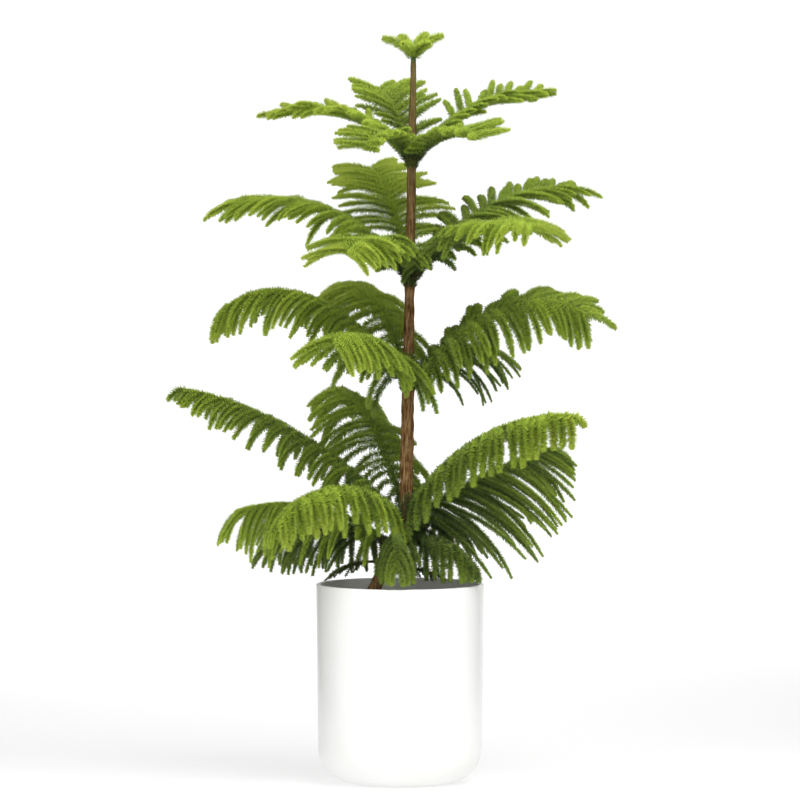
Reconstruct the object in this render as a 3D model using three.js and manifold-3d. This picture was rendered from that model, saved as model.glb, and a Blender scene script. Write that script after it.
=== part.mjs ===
// A young Norfolk Island pine in a white pot, in millimetres with +Z up.
// The origin is the centre of the pot's flat underside, and -Y is the plant's front.
//
// The trunk stands in the soil and carries five whorls of boughs. Each bough is one bare tapering
// limb, and the foliage that grows on from its tip is one solid: a stem with two rows of sprays,
// which are toothed blades of needles. A small tuft crowns the trunk.

import * as THREE from "three";
import { mergeVertices } from "three/addons/utils/BufferGeometryUtils.js";
import Module from "manifold-3d";

const wasm = await Module();
wasm.setup();

// ---- Driving dimensions ----

const GAP = 0.3; // clearance between pieces that touch
const SEED = { first: 1000, step: 77 }; // of the branches, in order of growth
const SHORTEST_EDGE = 0.02; // fusing can leave shorter ones, which are merged

const POT = {
  height: 238,
  rimRadius: 100,
  lowRadius: 97, // outside, just above the rounded bottom edge
  bottomRound: 42, // radius of the rounded bottom edge
  wall: 5,
  floor: 7,
  lipRound: 1.5,
  segments: 30,
};
const SOIL_HEIGHT = 195; // of the soil's surface, above the pot's underside

const TRUNK = {
  tipHeight: 861,
  straightFrom: 373, // above this height the trunk is straight
  leanLow: 8, // x of the axis at straightFrom
  leanHigh: 16, // x of the axis at the tip
  footShift: 45, // how far the foot curves away to the left
  footCurve: 130, // height over which it curves back
  sides: 10,
  rings: 36,
  crowding: 1.6, // over 1, the rings stand closer near the foot
};

// Radius of the trunk at heights from the soil to the tip: the root flare, the stout lower part,
// the step in above the third whorl, and the slim leader.
const TRUNK_RADII = [
  { height: 195, radius: 12.6 },
  { height: 204, radius: 10.2 },
  { height: 218, radius: 8.8 },
  { height: 290, radius: 8.1 },
  { height: 373, radius: 7.9 },
  { height: 475, radius: 7.6 },
  { height: 540, radius: 6.2 },
  { height: 700, radius: 5.6 },
  { height: 790, radius: 4.8 },
  { height: 861, radius: 3.2 },
];

// How far the bare bough reaches past the bark, over its branch's length, and at least.
const BARE = { share: 0.06, least: 10 };
const BOUGH = { baseRadius: 3.9, tipRadius: 2.7, sides: 5, rings: 3 };
const STEM = { baseRadius: 2.7, tipRadius: 1.3, sides: 3, rings: 5 };
const SPRAY = {
  rootHalfWidth: 1.5,
  rootHeight: 1.7,
  height: 2.4, // of the ridge over the blade's edges
  widthShare: 0.45, // half width over the distance between two sprays, across them
  slimness: 0.24, // half width over length, at most
  widening: 1.6, // how fast the blade widens from its root, over its length
  narrowing: 2.6, // how fast it narrows to its tip
  shortest: 14,
  cutBack: 0.88, // each length tried over the one before, where a spray lacks room
  steepest: -86, // degrees: a hanging spray comes no closer to plumb
  steps: 10,
};

// How far the sprays differ from their whorl's rule: in degrees, and as shares.
const VARIATION = { leave: 5, lift: 6, length: 0.08, droop: 0.15, place: 0.1 };
const STAGGER = 0.2; // of the spacing, between a pair of sprays and the middle of their stretch
// A spray droops most near the trunk, and by this much less at the tip of its branch.
const DROOP = { near: 1.15, less: 0.5 };
// Lengths of the sprays along a stem: how much shorter they are at its foot and at its tip, how
// late they shorten towards the tip, and where the longest stand.
const OUTLINE = { foot: 0.3, tip: 0.45, tipBend: 2.2, widest: 0.4 };
const LAST_SPRAY = { from: 0.97, lengthShare: 0.3, turn: 2, nod: 8 };
const SAMPLE = 7; // distance between the points of a spray that are tested for room
const ROOM = 8.5; // least distance between such points on two different masses
const EDGE = 0.8; // least distance from a mass to the sides of its sector
const LOWEST = POT.height + 5; // no spray hangs lower, so none touches the rim

// A whorl's sprays share their spacing along the stem, length, lift over the stem's plane and
// droop from root to tip, the angle at which they leave it, from the bough to the tip, and how
// late they turn downwards. A branch's own values take the place of its whorl's. Roll raises its
// left row of sprays over its right one, and rows are the lengths of the two rows, as shares.
// A branch's rise is its angle over the horizontal, in degrees, at the trunk and at the tip, and
// bend says how late it turns from one to the other. Its sector runs halfway to its neighbours,
// or from one azimuth to another where two branches share a space, one over the other.
const WHORLS = [
  {
    number: 1,
    height: 737,
    sprays: { spacing: 21, length: 48, lift: 22, droop: 24, leave: [66, 48], foot: 0.1, tip: 0.35 },
    color: 0x7fae2f,
    branches: [
      {
        side: "left",
        azimuth: 176,
        length: 178,
        rise: [57, -16],
        sprays: { length: 54, droop: 34, roll: -4, rows: [1, 0.6] },
      },
      { side: "back", azimuth: 107, length: 168, rise: [55, 0], sprays: { length: 54 } },
      {
        side: "right",
        azimuth: 22,
        length: 188,
        rise: [56, -6],
        sprays: { roll: 8, rows: [0.8, 1] },
      },
      {
        side: "front_right",
        azimuth: -46,
        length: 124,
        rise: [53, -14],
        sprays: { length: 50, leave: [72, 64], tip: 0.25, rows: [1, 0.6] },
      },
      {
        side: "front_left",
        azimuth: -116,
        length: 136,
        rise: [53, -26],
        sprays: { leave: [72, 64], tip: 0.25, rows: [0.6, 1] },
      },
    ],
  },
  {
    number: 2,
    height: 596,
    sprays: {
      spacing: 27,
      length: 68,
      lift: 16,
      droop: 50,
      leave: [66, 48],
      bend: 0.8,
      foot: 0.1,
      tip: 0.35,
    },
    color: 0x6a9c2d,
    branches: [
      {
        side: "left",
        azimuth: 178,
        length: 246,
        rise: [62, -14],
        sprays: { length: 74, lift: 8, roll: -2, rows: [1, 0.55] },
      },
      { side: "back", azimuth: 106, length: 226, rise: [60, 6] },
      {
        side: "right",
        azimuth: 20,
        length: 240,
        rise: [57, -2],
        sprays: { roll: 10, rows: [0.75, 1] },
      },
      {
        side: "front_right",
        azimuth: -40,
        length: 206,
        rise: [52, -6],
        sprays: { length: 78, droop: 64, leave: [72, 60], tip: 0.25 },
      },
      {
        side: "front_left",
        azimuth: -115,
        length: 190,
        rise: [54, -20],
        sprays: { length: 70, droop: 60, leave: [72, 60], tip: 0.25 },
      },
    ],
  },
  {
    number: 3,
    height: 475,
    sprays: { spacing: 27, length: 78, lift: 4, droop: 88, leave: [64, 46], bend: 0.6 },
    color: 0x5c8f2a,
    branches: [
      {
        side: "left",
        azimuth: 175,
        length: 276,
        rise: [50, -52],
        bend: 2.2,
        sprays: { length: 66 },
      },
      { side: "back", azimuth: 114, length: 240, rise: [55, -12], bend: 1.3 },
      {
        side: "back_right",
        azimuth: 54,
        length: 170,
        rise: [34, -14],
        sprays: { length: 84, rows: [0.6, 1] },
      },
      {
        side: "right",
        azimuth: -8,
        length: 252,
        rise: [50, -33],
        bend: 1.9,
        sprays: { length: 74, droop: 60, leave: [84, 50], bend: 0.9, roll: 18 },
      },
      {
        side: "front_left",
        azimuth: -118,
        length: 200,
        rise: [46, -8],
        bend: 1.2,
        sprays: { length: 72, droop: 78, leave: [96, 46], foot: 0, tip: 0.2 },
      },
    ],
  },
  {
    number: 4,
    height: 310,
    sprays: { spacing: 31, length: 80, lift: 0, droop: 84, leave: [62, 44], bend: 0.6 },
    color: 0x4d7d29,
    branches: [
      {
        side: "left",
        azimuth: 171,
        length: 318,
        rise: [46, 10],
        bend: 1.2,
        sprays: { length: 54, tip: 0.6 },
      },
      { side: "back", azimuth: 112, length: 275, rise: [60, 2] },
      {
        side: "right",
        azimuth: 12,
        length: 204,
        rise: [34, 16],
        sector: [-75, 66],
        sprays: {
          length: 128,
          lift: -38,
          droop: 34,
          leave: [46, 36],
          bend: 1,
          widest: 0.16,
          foot: 0.1,
          tip: 0.75,
        },
      },
      {
        side: "front_right",
        azimuth: -32,
        length: 284,
        rise: [62, 1],
        sector: [-108, 12],
        sprays: { length: 62, droop: 100, leave: [92, 46], foot: 0, roll: 10, rows: [0.5, 1] },
      },
      {
        side: "front_left",
        azimuth: -138,
        length: 218,
        rise: [46, -40],
        bend: 1.1,
        sprays: { length: 60, leave: [92, 46], foot: 0 },
      },
    ],
  },
  {
    number: 5,
    height: 280,
    sprays: { spacing: 29, length: 66, lift: -4, droop: 80, leave: [60, 42], bend: 0.6 },
    color: 0x3f6d2a,
    branches: [
      {
        side: "left",
        azimuth: 195,
        length: 208,
        rise: [40, -16],
        bend: 1.2,
        sprays: { length: 90 },
      },
      { side: "front", azimuth: -88, length: 120, rise: [46, -60], sprays: { length: 54 } },
      { side: "right", azimuth: -30, length: 120, rise: [34, -50], sprays: { length: 60 } },
      { side: "back_right", azimuth: 57, length: 162, rise: [36, -28] },
      { side: "back_left", azimuth: 140, length: 190, rise: [26, -28], sprays: { length: 84 } },
    ],
  },
];

// Degrees by which every whorl leans down towards the front, where the light comes from.
const FRONT_LEAN = 4;

// Two old twigs, nearly bare, that grow from the foot of the trunk.
const OLD_TWIGS = [
  { name: "old_twig_left", azimuth: 184, height: 262, length: 80, rise: [14, -44], seed: 31 },
  { name: "old_twig_right", azimuth: -24, height: 250, length: 82, rise: [24, -30], seed: 47 },
];
const OLD_TWIG = { baseRadius: 1.9, tipRadius: 0.9, sides: 3, rings: 6 };
const OLD_SPRAYS = { count: 6, from: 0.34, to: 0.97, length: 24, halfWidth: 3.6 };
const OLD_SPRAY_RULE = { length: OLD_SPRAYS.length, lift: 0, droop: 40, leave: [50, 30], roll: 0 };

// The shoots of the crowning tuft, which leave a short stalk on the trunk's tip.
const TUFT = { stalk: 9, baseRadius: 2.6, tipRadius: 1.6, shootsFrom: 0.55, halfWidth: 5.2 };
const SHOOTS = [
  { azimuth: 178, length: 44, rise: [54, 8] },
  { azimuth: 124, length: 39, rise: [64, 18] },
  { azimuth: 60, length: 43, rise: [64, 18] },
  { azimuth: 14, length: 46, rise: [56, 16] },
  { azimuth: -48, length: 34, rise: [50, 6] },
  { azimuth: -116, length: 34, rise: [50, 6] },
];

// ---- Materials ----

function material(color, roughness) {
  return new THREE.MeshStandardMaterial({ color, roughness, metalness: 0 });
}

const POT_GLAZE = material(0xf4f4f2, 0.35);
const PEAT = material(0x3a2a20, 0.95);
const BARK = material(0x7a4a33, 0.85);
const TIP_GREEN = material(0x8dbb35, 0.6);
const OLD_GREEN = material(0x35552b, 0.7);

// ---- Small helpers ----

const { degToRad, radToDeg, lerp, clamp } = THREE.MathUtils;
const UP = new THREE.Vector3(0, 0, 1);

// A repeatable stream of numbers between 0 and 1.
class Chance {
  constructor(seed) {
    this.state = seed;
  }
  next() {
    this.state = (this.state * 1664525 + 1013904223) % 4294967296;
    return this.state / 4294967296;
  }
  // A number up to a size above or below zero.
  around(size) {
    return size * (2 * this.next() - 1);
  }
}

// The unit vector at an azimuth and an elevation, both in degrees.
function direction(azimuth, elevation) {
  const a = degToRad(azimuth);
  const e = degToRad(elevation);
  return new THREE.Vector3(Math.cos(e) * Math.cos(a), Math.cos(e) * Math.sin(a), Math.sin(e));
}

// ---- The lines that limbs and sprays follow ----

// A line in one vertical plane that starts at a rise and turns to another along its length.
class Branch extends THREE.Curve {
  constructor({ base, azimuth, length, rise, bend = 1, steps = 40 }) {
    super();
    Object.assign(this, { azimuth, length, rise, bend });
    this.points = [base.clone()];
    for (let i = 0; i < steps; i++) {
      const step = direction(azimuth, this.riseAt((i + 0.5) / steps)).multiplyScalar(length / steps);
      this.points.push(this.points[i].clone().add(step));
    }
  }
  riseAt(t) {
    return lerp(this.rise[0], this.rise[1], Math.pow(clamp(t, 0, 1), this.bend));
  }
  getPoint(t, target = new THREE.Vector3()) {
    const x = clamp(t, 0, 1) * (this.points.length - 1);
    const i = Math.min(Math.floor(x), this.points.length - 2);
    return target.lerpVectors(this.points[i], this.points[i + 1], x - i);
  }
  tangentAt(t) {
    return direction(this.azimuth, this.riseAt(t));
  }
  // The direction at right angles to the line, in its vertical plane.
  aboveAt(t) {
    return direction(this.azimuth, this.riseAt(t) + 90);
  }
}

// The trunk's axis: straight above, with a foot that curves to the left.
function trunkAxis(height) {
  const lean = (TRUNK.leanHigh - TRUNK.leanLow) / (TRUNK.tipHeight - TRUNK.straightFrom);
  const straight = TRUNK.leanLow + (height - TRUNK.straightFrom) * lean;
  const curve = THREE.MathUtils.smoothstep(height, SOIL_HEIGHT, SOIL_HEIGHT + TRUNK.footCurve);
  return new THREE.Vector3(straight - TRUNK.footShift * (1 - curve), 0, height);
}

function trunkRadius(height) {
  const i = Math.max(1, TRUNK_RADII.findIndex((ring) => ring.height >= height));
  const low = TRUNK_RADII[i - 1];
  const high = TRUNK_RADII[i];
  return lerp(low.radius, high.radius, (height - low.height) / (high.height - low.height));
}

// Where a branch leaves the trunk's bark, as a share of its length.
function barkShare(branch) {
  return trunkRadius(branch.points[0].z) / Math.cos(degToRad(branch.rise[0])) / branch.length;
}

// Where its bare bough ends and its foliage starts.
function bareShare(branch) {
  return barkShare(branch) + Math.max(BARE.share, BARE.least / branch.length);
}

// ---- Closed skins ----

// A closed skin over rings of points. Every ring runs anticlockwise as seen from the last ring
// towards the first, and a last ring of one point is a tip.
function loft(rings) {
  const around = rings[0].length;
  const last = rings[rings.length - 1];
  const faces = [];
  for (let i = 0; i + 1 < rings.length; i++) {
    const start = i * around;
    const next = start + around;
    for (let k = 0; k < around; k++) {
      const m = (k + 1) % around;
      if (rings[i + 1].length === 1) {
        faces.push(start + k, start + m, next);
      } else {
        faces.push(start + k, start + m, next + m);
        faces.push(start + k, next + m, next + k);
      }
    }
  }
  const end = (rings.length - 1) * around;
  for (let k = 1; k + 1 < around; k++) {
    faces.push(0, k + 1, k);
    if (last.length > 1) faces.push(end, end + k, end + k + 1);
  }
  const geometry = new THREE.BufferGeometry().setFromPoints(rings.flat());
  geometry.setIndex(faces);
  return geometry;
}

// Points round a centre, across the plane of two directions.
function ring(center, across, above, radius, sides) {
  return Array.from({ length: sides }, (_, k) => {
    const angle = Math.PI / 2 + (2 * Math.PI * k) / sides;
    return center
      .clone()
      .addScaledVector(across, radius * Math.cos(angle))
      .addScaledVector(above, radius * Math.sin(angle));
  });
}

// A tapering limb along part of a branch.
function limb(branch, from, to, { baseRadius, tipRadius, sides, rings }) {
  const count = rings + 1;
  const across = new THREE.Vector3().crossVectors(branch.aboveAt(from), branch.tangentAt(from));
  return Array.from({ length: count }, (_, i) => {
    const t = lerp(from, to, i / rings);
    const radius = lerp(baseRadius, tipRadius, i / rings);
    return ring(branch.getPoint(t), across.clone().negate(), branch.aboveAt(t), radius, sides).reverse();
  });
}

// ---- Solids ----

function solid(geometry) {
  const bare = new THREE.BufferGeometry();
  bare.setAttribute("position", geometry.getAttribute("position"));
  bare.setIndex(geometry.index);
  const merged = mergeVertices(bare);
  return new wasm.Manifold(
    new wasm.Mesh({
      numProp: 3,
      vertProperties: merged.getAttribute("position").array,
      triVerts: new Uint32Array(merged.index.array),
    }),
  );
}

// The largest body of a solid, without the loose scraps and sealed hollows that fusing can leave.
function largestBody(fused) {
  return fused.decompose().reduce((best, body) => (body.volume() > best.volume() ? body : best));
}

function geometryOf(fused) {
  const { vertProperties, triVerts } = largestBody(fused.simplify(SHORTEST_EDGE)).getMesh();
  const geometry = new THREE.BufferGeometry();
  geometry.setAttribute("position", new THREE.BufferAttribute(new Float32Array(vertProperties), 3));
  geometry.setIndex(new THREE.BufferAttribute(new Uint32Array(triVerts), 1));
  geometry.computeVertexNormals();
  return geometry;
}

const plant = new THREE.Group();

function place(name, geometry, finish) {
  const mesh = new THREE.Mesh(geometry, finish);
  mesh.name = name;
  plant.add(mesh);
}

// ---- Pot and soil ----

function turned(profile) {
  const points = profile.map(([radius, height]) => new THREE.Vector2(radius, height));
  return new THREE.LatheGeometry(points, POT.segments).rotateX(Math.PI / 2);
}

// A quarter round in a profile, from one angle to another, in degrees.
function roundPoints(centerRadius, centerHeight, radius, from, to, steps) {
  return Array.from({ length: steps + 1 }, (_, i) => {
    const angle = degToRad(lerp(from, to, i / steps));
    return [centerRadius + radius * Math.cos(angle), centerHeight + radius * Math.sin(angle)];
  });
}

const innerRound = POT.bottomRound - POT.wall;
const innerLow = POT.lowRadius - POT.wall;
const innerRim = POT.rimRadius - POT.wall;

function makePot() {
  const { height, rimRadius, lowRadius, bottomRound, lipRound, floor } = POT;
  place(
    "pot",
    turned([
      [0, 0],
      ...roundPoints(lowRadius - bottomRound, bottomRound, bottomRound, -90, 0, 4),
      ...roundPoints(rimRadius - lipRound, height - lipRound, lipRound, 0, 90, 1),
      ...roundPoints(innerRim + lipRound, height - lipRound, lipRound, 90, 180, 1),
      ...roundPoints(innerLow - innerRound, floor + innerRound, innerRound, 0, -90, 2),
      [0, floor],
    ]),
    POT_GLAZE,
  );
}

function makeSoil() {
  const bottom = POT.floor + GAP;
  const low = innerLow - GAP;
  const wallFoot = POT.floor + innerRound;
  const share = (SOIL_HEIGHT - wallFoot) / (POT.height - POT.lipRound - wallFoot);
  const top = lerp(innerLow, innerRim, share) - GAP;
  place(
    "soil",
    turned([
      [0, bottom],
      ...roundPoints(low - innerRound, bottom + innerRound, innerRound, -90, 0, 2),
      [top, SOIL_HEIGHT],
      [0, SOIL_HEIGHT],
    ]),
    PEAT,
  );
}

// ---- Trunk ----

function makeTrunk() {
  const across = new THREE.Vector3(1, 0, 0);
  const along = new THREE.Vector3(0, 1, 0);
  const foot = SOIL_HEIGHT + GAP;
  const rings = Array.from({ length: TRUNK.rings + 1 }, (_, i) => {
    const height = lerp(foot, TRUNK.tipHeight, Math.pow(i / TRUNK.rings, TRUNK.crowding));
    return ring(trunkAxis(height), across, along, trunkRadius(height), TRUNK.sides);
  });
  place("trunk", loft(rings), BARK);
}

// ---- Room for each mass ----

// The points that the masses hold so far, in cubes as wide as the room they keep.
class Crown {
  constructor() {
    this.cubes = new Map();
  }
  key(x, y, z) {
    return `${Math.floor(x / ROOM)},${Math.floor(y / ROOM)},${Math.floor(z / ROOM)}`;
  }
  add(points, owner) {
    for (const point of points) {
      const key = this.key(point.x, point.y, point.z);
      if (!this.cubes.has(key)) this.cubes.set(key, []);
      this.cubes.get(key).push({ point, owner });
    }
  }
  isFree(point, owner) {
    for (const x of [-ROOM, 0, ROOM]) {
      for (const y of [-ROOM, 0, ROOM]) {
        for (const z of [-ROOM, 0, ROOM]) {
          const held = this.cubes.get(this.key(point.x + x, point.y + y, point.z + z)) ?? [];
          if (held.some((h) => h.owner !== owner && h.point.distanceTo(point) < ROOM)) return false;
        }
      }
    }
    return true;
  }
}

const crown = new Crown();

// Whether a point lies clear of the trunk, above the rim and inside its mass's sector.
function isInside(point, sector) {
  const axis = trunkAxis(clamp(point.z, SOIL_HEIGHT, TRUNK.tipHeight));
  const x = point.x - axis.x;
  const y = point.y - axis.y;
  if (Math.hypot(x, y) < trunkRadius(clamp(point.z, SOIL_HEIGHT, TRUNK.tipHeight)) + 2 * EDGE) return false;
  if (point.z < LOWEST) return false;
  if (!sector) return true;
  const pastFirst = -x * Math.sin(sector[0]) + y * Math.cos(sector[0]);
  const beforeLast = x * Math.sin(sector[1]) - y * Math.cos(sector[1]);
  return pastFirst > EDGE && beforeLast > EDGE;
}

// The two sides of each branch's sector, in radians: its own, or halfway to its neighbours.
function sectors(branches) {
  const order = [...branches].sort((a, b) => a.azimuth - b.azimuth);
  const found = new Map();
  order.forEach((branch, i) => {
    const before = i > 0 ? order[i - 1].azimuth : order[order.length - 1].azimuth - 360;
    const after = i + 1 < order.length ? order[i + 1].azimuth : order[0].azimuth + 360;
    const halfway = [(before + branch.azimuth) / 2, (after + branch.azimuth) / 2];
    found.set(branch, (branch.sector ?? halfway).map(degToRad));
  });
  return found;
}

// ---- Sprays of needles ----

// Places along a spray, past its root, and the shares of its half width on its two sides there,
// so that the teeth stand by turns on one side and the other.
const TEETH = [
  { at: 0.36, widths: [1, 0.6] },
  { at: 0.64, widths: [0.48, 0.95] },
];

// A blade with a ridge along the middle of its upper face and teeth along its edges. Forward is
// the way that its stem grows, across the blade.
function blade(line, forward, halfWidth) {
  const firstAbove = new THREE.Vector3().crossVectors(line.tangentAt(0), forward);
  const face = firstAbove.dot(UP) < 0 ? -1 : 1;
  const root = { at: 0, widths: [SPRAY.rootHalfWidth / halfWidth, SPRAY.rootHalfWidth / halfWidth] };
  const rings = [root, ...TEETH].map(({ at, widths }) => {
    const tangent = line.tangentAt(at);
    const across = forward.clone().addScaledVector(tangent, -forward.dot(tangent)).normalize();
    const above = new THREE.Vector3().crossVectors(tangent, across).multiplyScalar(face);
    const ridge = at > 0 ? SPRAY.height : SPRAY.rootHeight;
    const center = line.getPoint(at).addScaledVector(above, -ridge / 3);
    const points = [
      center.clone().addScaledVector(across, widths[0] * halfWidth),
      center.clone().addScaledVector(above, ridge),
      center.clone().addScaledVector(across, -widths[1] * halfWidth),
    ];
    return face < 0 ? points.reverse() : points;
  });
  rings.push([line.getPoint(1)]);
  return loft(rings);
}

// The points along both edges and the middle of a spray, past its root.
function samples(line, forward, halfWidth) {
  const count = Math.ceil(line.length / SAMPLE);
  return Array.from({ length: count }, (_, i) => {
    const t = (i + 1) / count;
    const tangent = line.tangentAt(t);
    const across = forward.clone().addScaledVector(tangent, -forward.dot(tangent)).normalize();
    const half = halfWidth * Math.min(1, SPRAY.widening * t, SPRAY.narrowing * (1 - t));
    const middle = line.getPoint(t);
    return [-half, 0, half].map((offset) => middle.clone().addScaledVector(across, offset));
  }).flat();
}

// The length of the sprays along a stem, as a share of the whorl's: a blunt leaf-like outline.
function outlineAt(s, bare, { foot, tip, widest }) {
  if (s < widest) return 1 - foot * Math.pow((widest - s) / (widest - bare), 2);
  return 1 - tip * Math.pow((s - widest) / (1 - widest), OUTLINE.tipBend);
}

// The line of one spray that leaves a stem to its left (1) or right (-1).
function sprayLine(stem, s, side, sprays, chance) {
  const forward = stem.tangentAt(s);
  const above = stem.aboveAt(s);
  const outward = new THREE.Vector3().crossVectors(UP, forward).normalize().multiplyScalar(side);
  const { leave, lift, droop, length, bend = 1, roll, rows = [1, 1] } = sprays;
  const aside = degToRad(lerp(leave[0], leave[1], s) + chance.around(VARIATION.leave));
  const raised = degToRad(lift + side * roll + chance.around(VARIATION.lift));
  const start = forward
    .clone()
    .multiplyScalar(Math.cos(aside))
    .addScaledVector(outward, Math.sin(aside))
    .multiplyScalar(Math.cos(raised))
    .addScaledVector(above, Math.sin(raised));
  const first = radToDeg(Math.asin(start.z));
  const share = outlineAt(s, bareShare(stem), { ...OUTLINE, ...sprays });
  const row = rows[side > 0 ? 0 : 1];
  const grown = length * share * row * (1 + chance.around(VARIATION.length));
  const turn = droop * (DROOP.near - DROOP.less * s) * (1 + chance.around(VARIATION.droop));
  return {
    base: stem.getPoint(s),
    azimuth: radToDeg(Math.atan2(start.y, start.x)),
    length: grown,
    rise: [first, Math.max(SPRAY.steepest, first - turn)],
    bend,
    steps: SPRAY.steps,
  };
}

// A spray cut back until it has room, or nothing where even a short one has none.
function sprayWithRoom(shape, forward, halfWidth, owner, sector) {
  for (let length = shape.length; length > SPRAY.shortest; length *= SPRAY.cutBack) {
    const line = new Branch({ ...shape, length });
    const half = Math.min(halfWidth, SPRAY.slimness * length);
    const points = samples(line, forward, half);
    if (points.every((point) => isInside(point, sector) && crown.isFree(point, owner))) {
      crown.add(points, owner);
      return solid(blade(line, forward, half));
    }
  }
  return null;
}

// The foliage of one branch: its stem with two rows of sprays and one more at the tip.
function foliage(branch, sprays, name, sector, seed) {
  const chance = new Chance(seed);
  const bare = bareShare(branch);
  const first = bare + GAP / branch.length;
  let mass = solid(loft(limb(branch, first, 1, STEM)));
  const run = 1 - bare;
  const pairs = Math.round((run * branch.length) / sprays.spacing);
  const across = Math.sin(degToRad((sprays.leave[0] + sprays.leave[1]) / 2));
  const halfWidth = SPRAY.widthShare * sprays.spacing * across;
  for (let i = 0; i < pairs; i++) {
    for (const side of [1, -1]) {
      const step = i + 0.5 + STAGGER * side + chance.around(VARIATION.place);
      const s = bare + (run * step) / pairs;
      const shape = sprayLine(branch, s, side, sprays, chance);
      const grown = sprayWithRoom(shape, branch.tangentAt(s), halfWidth, name, sector);
      if (grown) mass = mass.add(grown);
    }
  }
  const { from, lengthShare, turn, nod } = LAST_SPRAY;
  const tip = {
    base: branch.getPoint(from),
    azimuth: branch.azimuth + turn,
    length: lengthShare * sprays.length,
    rise: [branch.riseAt(from), branch.riseAt(1) - nod],
    steps: SPRAY.steps,
  };
  const sideways = new THREE.Vector3().crossVectors(UP, branch.tangentAt(1)).normalize();
  const last = sprayWithRoom(tip, sideways, halfWidth, name, sector);
  return last ? mass.add(last) : mass;
}

// ---- Boughs ----

// The rings of a limb whose foot is cut to lie against the bark, just clear of it.
function seatedLimb(branch, from, to, size) {
  const rings = limb(branch, from, to, size);
  const outward = direction(branch.azimuth, 0);
  const tangent = branch.tangentAt(from);
  const passes = 8; // the trunk's radius and axis change along each move
  for (const point of rings[0]) {
    for (let pass = 0; pass < passes; pass++) {
      const reach = trunkRadius(point.z) + GAP;
      const short = reach - point.clone().sub(trunkAxis(point.z)).dot(outward);
      point.addScaledVector(tangent, short / tangent.dot(outward));
    }
  }
  return rings;
}

function makeWhorls() {
  const grown = [];
  for (const whorl of WHORLS) {
    const sector = sectors(whorl.branches);
    for (const spec of whorl.branches) {
      const rise = spec.rise.map((angle) => angle + FRONT_LEAN * Math.sin(degToRad(spec.azimuth)));
      const branch = new Branch({ base: trunkAxis(whorl.height), ...spec, rise });
      const label = `${whorl.number}_${spec.side}`;
      const rings = seatedLimb(branch, barkShare(branch), bareShare(branch), BOUGH);
      place(`bough_${label}`, loft(rings), BARK);
      const steps = Math.ceil(branch.length / SAMPLE);
      const stemPoints = Array.from({ length: steps }, (_, i) => branch.getPoint((i + 1) / steps));
      crown.add(stemPoints, `foliage_${label}`);
      grown.push({ branch, whorl, spec, label, sector: sector.get(spec) });
    }
  }
  grown.forEach(({ branch, whorl, spec, label, sector }, i) => {
    const sprays = { roll: 0, ...whorl.sprays, ...spec.sprays };
    sprays.roll += FRONT_LEAN * Math.cos(degToRad(spec.azimuth));
    const mass = foliage(branch, sprays, `foliage_${label}`, sector, SEED.first + SEED.step * i);
    place(`foliage_${label}`, geometryOf(mass), material(whorl.color, 0.65));
  });
}

// ---- Old twigs and the tuft ----

function makeOldTwigs() {
  for (const { name, azimuth, height, length, rise, seed } of OLD_TWIGS) {
    const branch = new Branch({ base: trunkAxis(height), azimuth, length, rise });
    const chance = new Chance(seed);
    let twig = solid(loft(seatedLimb(branch, barkShare(branch), 1, OLD_TWIG)));
    const { count, from, to, halfWidth } = OLD_SPRAYS;
    for (let i = 0; i < count; i++) {
      const s = lerp(from, to, i / (count - 1));
      const side = i % 2 ? 1 : -1;
      const shape = { ...sprayLine(branch, s, side, OLD_SPRAY_RULE, chance), length: OLD_SPRAYS.length };
      const grown = sprayWithRoom(shape, branch.tangentAt(s), halfWidth, name);
      if (grown) twig = twig.add(grown);
    }
    place(name, geometryOf(twig), OLD_GREEN);
  }
}

function makeTuft() {
  const foot = trunkAxis(TRUNK.tipHeight).addScaledVector(UP, GAP);
  const stalk = new Branch({ base: foot, azimuth: 0, length: TUFT.stalk, rise: [90, 90] });
  let tuft = solid(loft(limb(stalk, 0, 1, { ...TUFT, sides: 6, rings: 2 })));
  for (const shoot of SHOOTS) {
    const line = new Branch({ base: stalk.getPoint(TUFT.shootsFrom), steps: SPRAY.steps, ...shoot });
    const across = new THREE.Vector3().crossVectors(UP, line.tangentAt(1)).normalize();
    tuft = tuft.add(solid(blade(line, across, TUFT.halfWidth)));
  }
  place("foliage_tip", geometryOf(tuft), TIP_GREEN);
}

makePot();
makeSoil();
makeTrunk();
makeWhorls();
makeOldTwigs();
makeTuft();

export default plant;
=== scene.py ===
"""A young Norfolk Island pine in a white pot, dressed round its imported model.

Sizes are millimetres and angles are degrees until a mesh is made, and +Z is up. Each branch grows
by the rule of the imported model's source: a stem in one vertical plane with two rows of sprays.
Here the rows stand closer, each spray is one branchlet, and needles clothe all of them.
"""

import logging
import math
from collections.abc import Callable, Iterable
from dataclasses import dataclass, field, replace
from enum import Enum

import bmesh
import bpy
import numpy as np
from bpy.types import Material, Node, NodeTree, Object
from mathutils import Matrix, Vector, noise


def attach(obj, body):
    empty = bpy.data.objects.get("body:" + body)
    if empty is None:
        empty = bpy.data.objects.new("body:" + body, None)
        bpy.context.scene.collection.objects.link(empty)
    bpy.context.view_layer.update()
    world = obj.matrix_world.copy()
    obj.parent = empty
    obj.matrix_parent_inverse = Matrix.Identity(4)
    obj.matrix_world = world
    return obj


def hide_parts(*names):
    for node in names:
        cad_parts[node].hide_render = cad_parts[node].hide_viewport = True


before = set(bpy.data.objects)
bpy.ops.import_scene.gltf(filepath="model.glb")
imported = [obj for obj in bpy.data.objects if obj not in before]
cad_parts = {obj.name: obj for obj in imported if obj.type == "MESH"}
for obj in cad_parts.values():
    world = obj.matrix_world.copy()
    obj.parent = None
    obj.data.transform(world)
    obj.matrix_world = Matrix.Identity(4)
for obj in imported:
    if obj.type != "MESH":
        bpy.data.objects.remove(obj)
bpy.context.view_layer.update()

log = logging.getLogger("pine")

Pair = tuple[float, float]

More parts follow.
